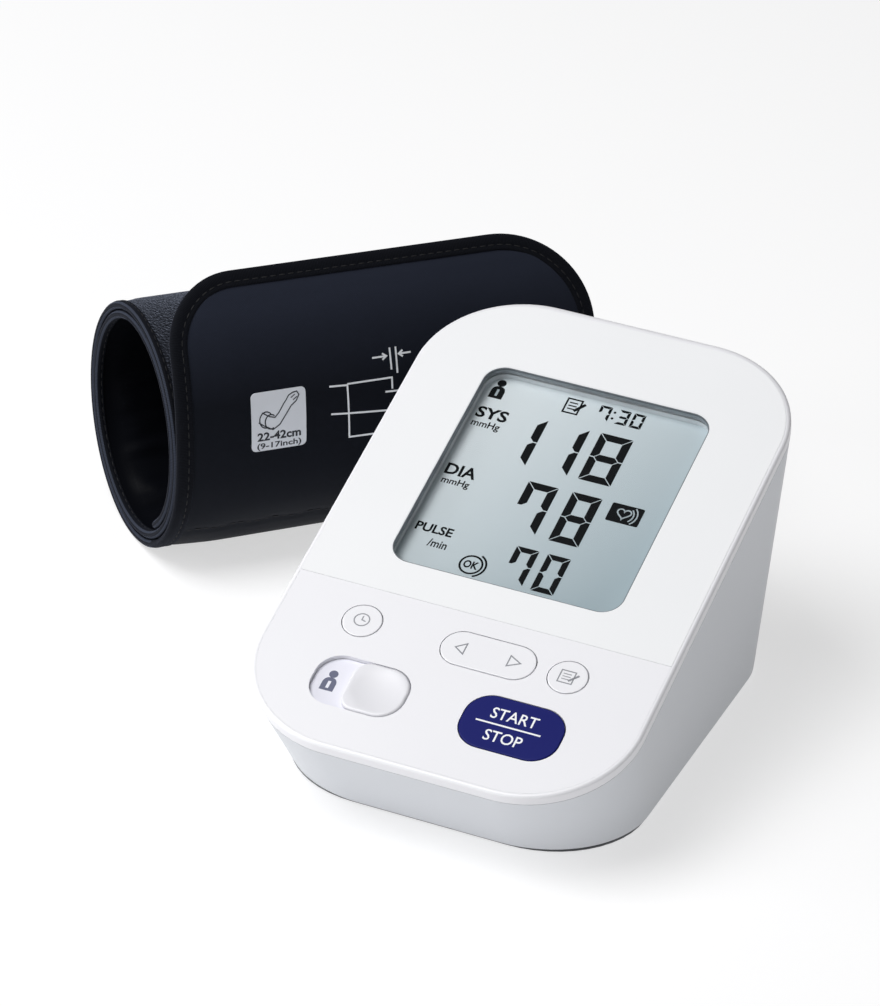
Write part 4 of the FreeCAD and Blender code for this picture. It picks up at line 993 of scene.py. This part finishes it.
def edging():
    path = edge_path()
    around = len(TAPE)
    points = []
    for t, s, into_t, into_s in path:
        reach = [(tape_reach(w, t), out) for w, out in TAPE]
        points += [on_cuff(t + into_t * w, s + into_s * w, out) for w, out in reach]
    far = [0.0]
    for a, b in zip(path, path[1:] + path[:1]):
        far.append(far[-1] + hypot(a[0] - b[0], a[1] - b[1]) / 1000)
    girth = [0.0]
    for (w0, o0), (w1, o1) in zip(TAPE, TAPE[1:] + TAPE[:1]):
        girth.append(girth[-1] + hypot(w1 - w0, o1 - o0) / 1000)
    faces = []
    maps = []
    finishes = []
    for i in range(len(path)):
        here, there = i * around, (i + 1) % len(path) * around
        for k in range(around):
            up = (k + 1) % around
            faces.append((here + k, there + k, there + up, here + up))
            # Painted highlight: the fold's outer and inner edge faces at the roll's end take the grey tape.
            finishes.append(1 if path[i][0] > HIGHLIGHT_FROM and k in HIGHLIGHT_SIDES else 0)
            maps += [(far[i], girth[k]), (far[i + 1], girth[k])]
            maps += [(far[i + 1], girth[k + 1]), (far[i], girth[k + 1])]
    tapes = (
        woven("black_woven_tape", "#17191F", "#0E0F13", 0.45, 0.75, 0.35, 0.15, "#8088A0", ribs=True),
        woven("tape_fold_painted_highlight", "#3A3F4B", "#2C303A", 0.45, 0.7, 0.35, 0.25, "#9098B0", ribs=True),
    )
    piece = cloth_piece("cuff_binding", points, faces, maps, finishes, tapes)
    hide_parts("cuff_edging")


edging()


def stitch_tree():
    """Nodes that lay one short round stitch after another along a path."""
    tree, ports, given = open_tree("stitches_on_path", {
        "Path": "Geometry", "Finish": "Material", "Pitch": "Float", "Stitch": "Vector",
    })
    curve = add(tree, "GeometryNodeMeshToCurve", {0: given["Path"]}, 0)
    pitch = {"Curve": curve, "Length": given["Pitch"]}
    spots = add(tree, "GeometryNodeCurveToPoints", pitch, mode="LENGTH").outputs
    ball = add(tree, "GeometryNodeMeshUVSphere", {"Segments": 6, "Rings": 4, "Radius": 0.5}, 0)
    thread = add(tree, "GeometryNodeTransform", {"Geometry": ball, "Scale": given["Stitch"]}, 0)
    smooth = add(tree, "GeometryNodeSetShadeSmooth", {0: thread}, 0)
    copies = add(tree, "GeometryNodeInstanceOnPoints", {
        "Points": spots["Points"], "Instance": smooth, "Rotation": spots["Rotation"],
    }, 0)
    close_tree(tree, copies, given["Finish"])
    return tree, ports


def stitches():
    thread = moulded("black_thread", "#101115", "#0B0C0F", 0.15, 0.8, 0.3)
    rows = []
    for side in (1.0, -1.0):
        sewn = []
        for t, s, into_t, into_s in edge_path():
            w = tape_reach(SEWN_AT, t)
            sewn.append(on_cuff(t + into_t * w, s + into_s * w, side))
        rows.append(sewn)
    across = range(6, 120)
    rows.append([on_cuff(SEAM_AT + seam_sway(s), s, outside(SEAM_AT, s) + 0.04) for s in across])
    points = []
    edges = []
    for row in rows:
        first = len(points)
        points += row
        edges += [(first + i, first + i + 1) for i in range(len(row) - 1)]
    data = bpy.data.meshes.new("cuff_stitches")
    data.from_pydata(points, edges, [])
    piece = link("cuff_stitches", data)
    grow(piece, *stitch_tree(), Finish=thread, Pitch=0.0026, Stitch=(0.0004, 0.0004, 0.0019))
    hold(piece, thread, "cuff")


stitches()


# Flap print. White guide lines for laying the cuff on the arm, and a white label with the arm sizes that it
# fits, all screen printed on the nylon in a dull ink that the weave shows through.
DEG = FLAP_R * pi / 180
GUIDE_W = 0.5
print_white = moulded("white_screen_print", "#F0F2F5", "#E4E7EB", 0.25, 0.6, 0.1)
label_white = moulded("white_label", "#DFE2E8", "#D5D9E0", 0.25, 0.55, 0.08)
label_ink = moulded("label_dark_ink", "#23262E", "#1B1E25", 0.25, 0.6)


def on_flap(s, up, lift):
    """Place on the flap's outer face in mm: s from the left edge, up from the flap's foot."""
    t = FLAP_L - up
    return on_cuff(t, s, outside(t, s) + lift)


def guide_line(*places):
    """A line through places given as s and degrees up the flap, in short steps that follow the cloth."""
    path = [(places[0][0], places[0][1] * DEG)]
    for (s0, a0), (s1, a1) in zip(places, places[1:]):
        count = max(1, int(hypot(s1 - s0, (a1 - a0) * DEG) / 1.5))
        for i in range(1, count + 1):
            path.append((s0 + (s1 - s0) * i / count, (a0 + (a1 - a0) * i / count) * DEG))
    return line(path, GUIDE_W)


guides = [guide_line(*places) for places in (
    ((44.1, 14.5), (49.4, 14.3)), ((49.4, 14.5), (62.7, 14.5), (62.7, 12.3)), ((60.6, 11.9), (64.5, 11.8)),
    ((44.4, 9.1), (49.1, 8.8), (63.5, 8.1)), ((49.4, 14.5), (49.8, 4.0), (58.4, 3.9)),
    ((57.2, 18.7), (61.4, 18.7)), ((60.2, 19.3), (61.4, 18.7), (60.2, 18.1)), ((68.7, 18.8), (65.1, 18.8)),
    ((66.3, 19.4), (65.1, 18.8), (66.3, 18.2)), ((62.5, 20.2), (62.7, 16.0)), ((64.3, 20.2), (64.4, 15.2)),
)]
print_on("cuff_guide_lines", guides, on_flap, -0.05, 0.05, print_white, "cuff", 1.5)
plate = [outline(*rounded(20.9, 37.0, 3.9 * DEG, 15.4 * DEG, 1.4))]
label = print_on("cuff_size_label", plate, on_flap, -0.1, 0.08, label_white, "cuff", 1.0)
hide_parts("cuff_label")
arm = [
    line([(23.0, 13.9), (24.9, 12.6), (27.2, 11.4), (29.2, 12.6), (31.2, 15.4), (32.6, 17.4)], 0.32),
    line([(24.0, 16.6), (26.2, 15.2), (27.8, 14.8), (29.0, 16.0), (30.4, 18.2), (31.2, 19.2)], 0.32),
    line([
        (32.6, 17.4), (34.2, 18.6), (35.0, 20.2), (34.4, 21.2), (33.2, 21.0), (32.0, 20.4), (31.2, 19.2),
    ], 0.32),
    line([(32.6, 19.6), (33.8, 20.4)], 0.26), line([(33.2, 18.9), (34.4, 19.7)], 0.26),
    line(arc(25.2, 14.4, 1.9, 40, 290, 14, 1.2), 0.34), line(arc(26.6, 13.7, 1.7, 50, 300, 14, 1.2), 0.34),
]
legend = [
    lettering("22-42cm", 22.6, 35.4, 8.5, 10.9, 0.03), lettering("(9-17inch)", 22.5, 35.5, 5.8, 7.9, 0.02),
]
print_on("cuff_label_print", arm + legend, on_flap, 0.08, 0.12, label_ink, "cuff", 1.0)


# Hook patch. A strip of moulded nylon hooks sewn to the flap's inner side, which grips the loop pile when
# the cuff is closed round an arm. The hooks are stiff, black and slightly shiny.
def hook_shape():
    """One bent hook, its foot at the origin."""
    thick = 0.1
    bend = [(0, 0), (0, 0.45), (0.1, 0.7), (0.32, 0.78), (0.48, 0.62)]
    shape = bmesh.new()
    before = None
    for x, z in bend:
        sides = [((x + thick * cos(a)) / 1000, thick * sin(a) / 1000, z / 1000) for a in (0.8, 2.4, 3.9, 5.5)]
        ring = [shape.verts.new(p) for p in sides]
        if before:
            bridge(shape, before, ring)
        else:
            shape.faces.new(ring)
        before = ring
    shape.faces.new(before)
    bmesh.ops.recalc_face_normals(shape, faces=shape.faces)
    return piece_of(shape, "hook_shape")


def hooks():
    rows, in_row, left, wide, root = 15, 55, 19.0, 87.0, -1.85
    low, high = (FLAP_TURN - 33.6) * DEG, (FLAP_TURN - 17.4) * DEG
    made = moulded("black_hook_nylon", "#1C1E23", "#141519", 0.3, 0.4, 0.1)
    skin("cuff_hooks", made)
    spots = []
    aims = []
    for i in range(rows):
        t = low + (high - low) * i / (rows - 1)
        for j in range(in_row):
            s = left + wide * (j + 0.5 * (i % 2)) / in_row
            spots.append(on_cuff(t, s, root))
            aims.append((on_cuff(t, s, root - 1.0) - on_cuff(t, s, root)).normalized())
    piece = set_on_points("cuff_hook_rows", hook_shape(), spots, aims, made, swing=3.1, seed=7)
    hold(piece, made, "cuff")


hooks()


# Air port. An elbow moulded in dark plastic with a dull face, bonded through the sleeve at the roll's back,
# for the plug of the air tube.
skin("cuff_port", moulded("port_dark_plastic", "#2A2D34", "#212329", 0.4, 0.45))


# Studio. A white light table that meets the white surround, with a plain unlit patch where the monitor stands
# that paints a dark contact shade along its base, large soft lamps from the upper left and a long lens from
# the right front.
def floor():
    reach = 6.0
    corners = [(-reach, -reach), (reach, -reach), (reach, reach), (-reach, reach)]
    patch = rounded(-48.5, 48.5, -56.0, 73.4, 27.0, 12)
    table = bmesh.new()
    outer = [table.verts.new((x, y, 0)) for x, y in corners]
    inner = [table.verts.new((middle.x + x / 1000, middle.y + y / 1000, 0)) for x, y in patch]
    fill_between(table, (outer, inner))
    table.faces.new(inner).material_index = 1
    for face in table.faces:
        face.normal_update()
        if face.normal.z < 0:
            face.normal_flip()
    piece = piece_of(table, "studio_floor")
    paper = {"Base Color": linear("#B2B2B3"), "Roughness": 0.9}
    glow = {"Emission Color": linear("#FFFFFF"), "Emission Strength": 0.6}
    piece.data.materials.append(finish("studio_paper", {**paper, **glow}))
    # The patch has no glow, so that the floor along the monitor's base shows a painted contact shade.
    piece.data.materials.append(finish("studio_unlit_shade_patch", paper))


def lamp(name, spot, target, size, power):
    data = bpy.data.lights.new(name, "AREA")
    data.size = size
    data.energy = power
    piece = link(name, data)
    piece.location = spot
    piece.rotation_euler = (Vector(target) - Vector(spot)).to_track_quat("-Z", "Y").to_euler()


floor()
air = bpy.data.worlds.new("studio_air")
air.use_nodes = True
air.node_tree.nodes["Background"].inputs["Color"].default_value = linear("#FFFFFF")
air.node_tree.nodes["Background"].inputs["Strength"].default_value = 0.12
bpy.context.scene.world = air
lamp("top_softbox", spot=(-0.6, -0.6, 1.5), target=(0, 0, 0), size=1.1, power=27.0)
lamp("left_softbox", spot=(-1.2, -0.75, 0.35), target=(0, -0.05, 0.03), size=0.6, power=6.0)

FRAME_H_PX, FOCAL_PX, SENSOR = 1006, 4672.37, 36.0
AIM_UP, AIM_ASIDE, AIM_HIGH, AWAY = 0.030, -0.02087, 0.03149, 1.22297
turn_round, look_down, lean = radians(21.18), radians(29.07), radians(3.77)
lens = bpy.data.cameras.new("studio_camera")
lens.sensor_width = SENSOR
lens.lens = FOCAL_PX / FRAME_H_PX * SENSOR
lens.clip_end = 20.0
camera = link("studio_camera", lens)
back = Vector((sin(turn_round) * cos(look_down), -cos(turn_round) * cos(look_down), sin(look_down)))
level_right = (-back).cross(Vector((0, 0, 1))).normalized()
level_up = level_right.cross(-back)
right = level_right * cos(lean) + level_up * sin(lean)
high = level_up * cos(lean) - level_right * sin(lean)
target = middle + Vector((0, 0, AIM_UP)) + right * AIM_ASIDE + high * AIM_HIGH
turned = Matrix((right, high, back)).transposed().to_4x4()
camera.matrix_world = Matrix.Translation(target + back * AWAY) @ turned
bpy.context.scene.camera = camera
bpy.context.scene.view_settings.view_transform = "Standard"
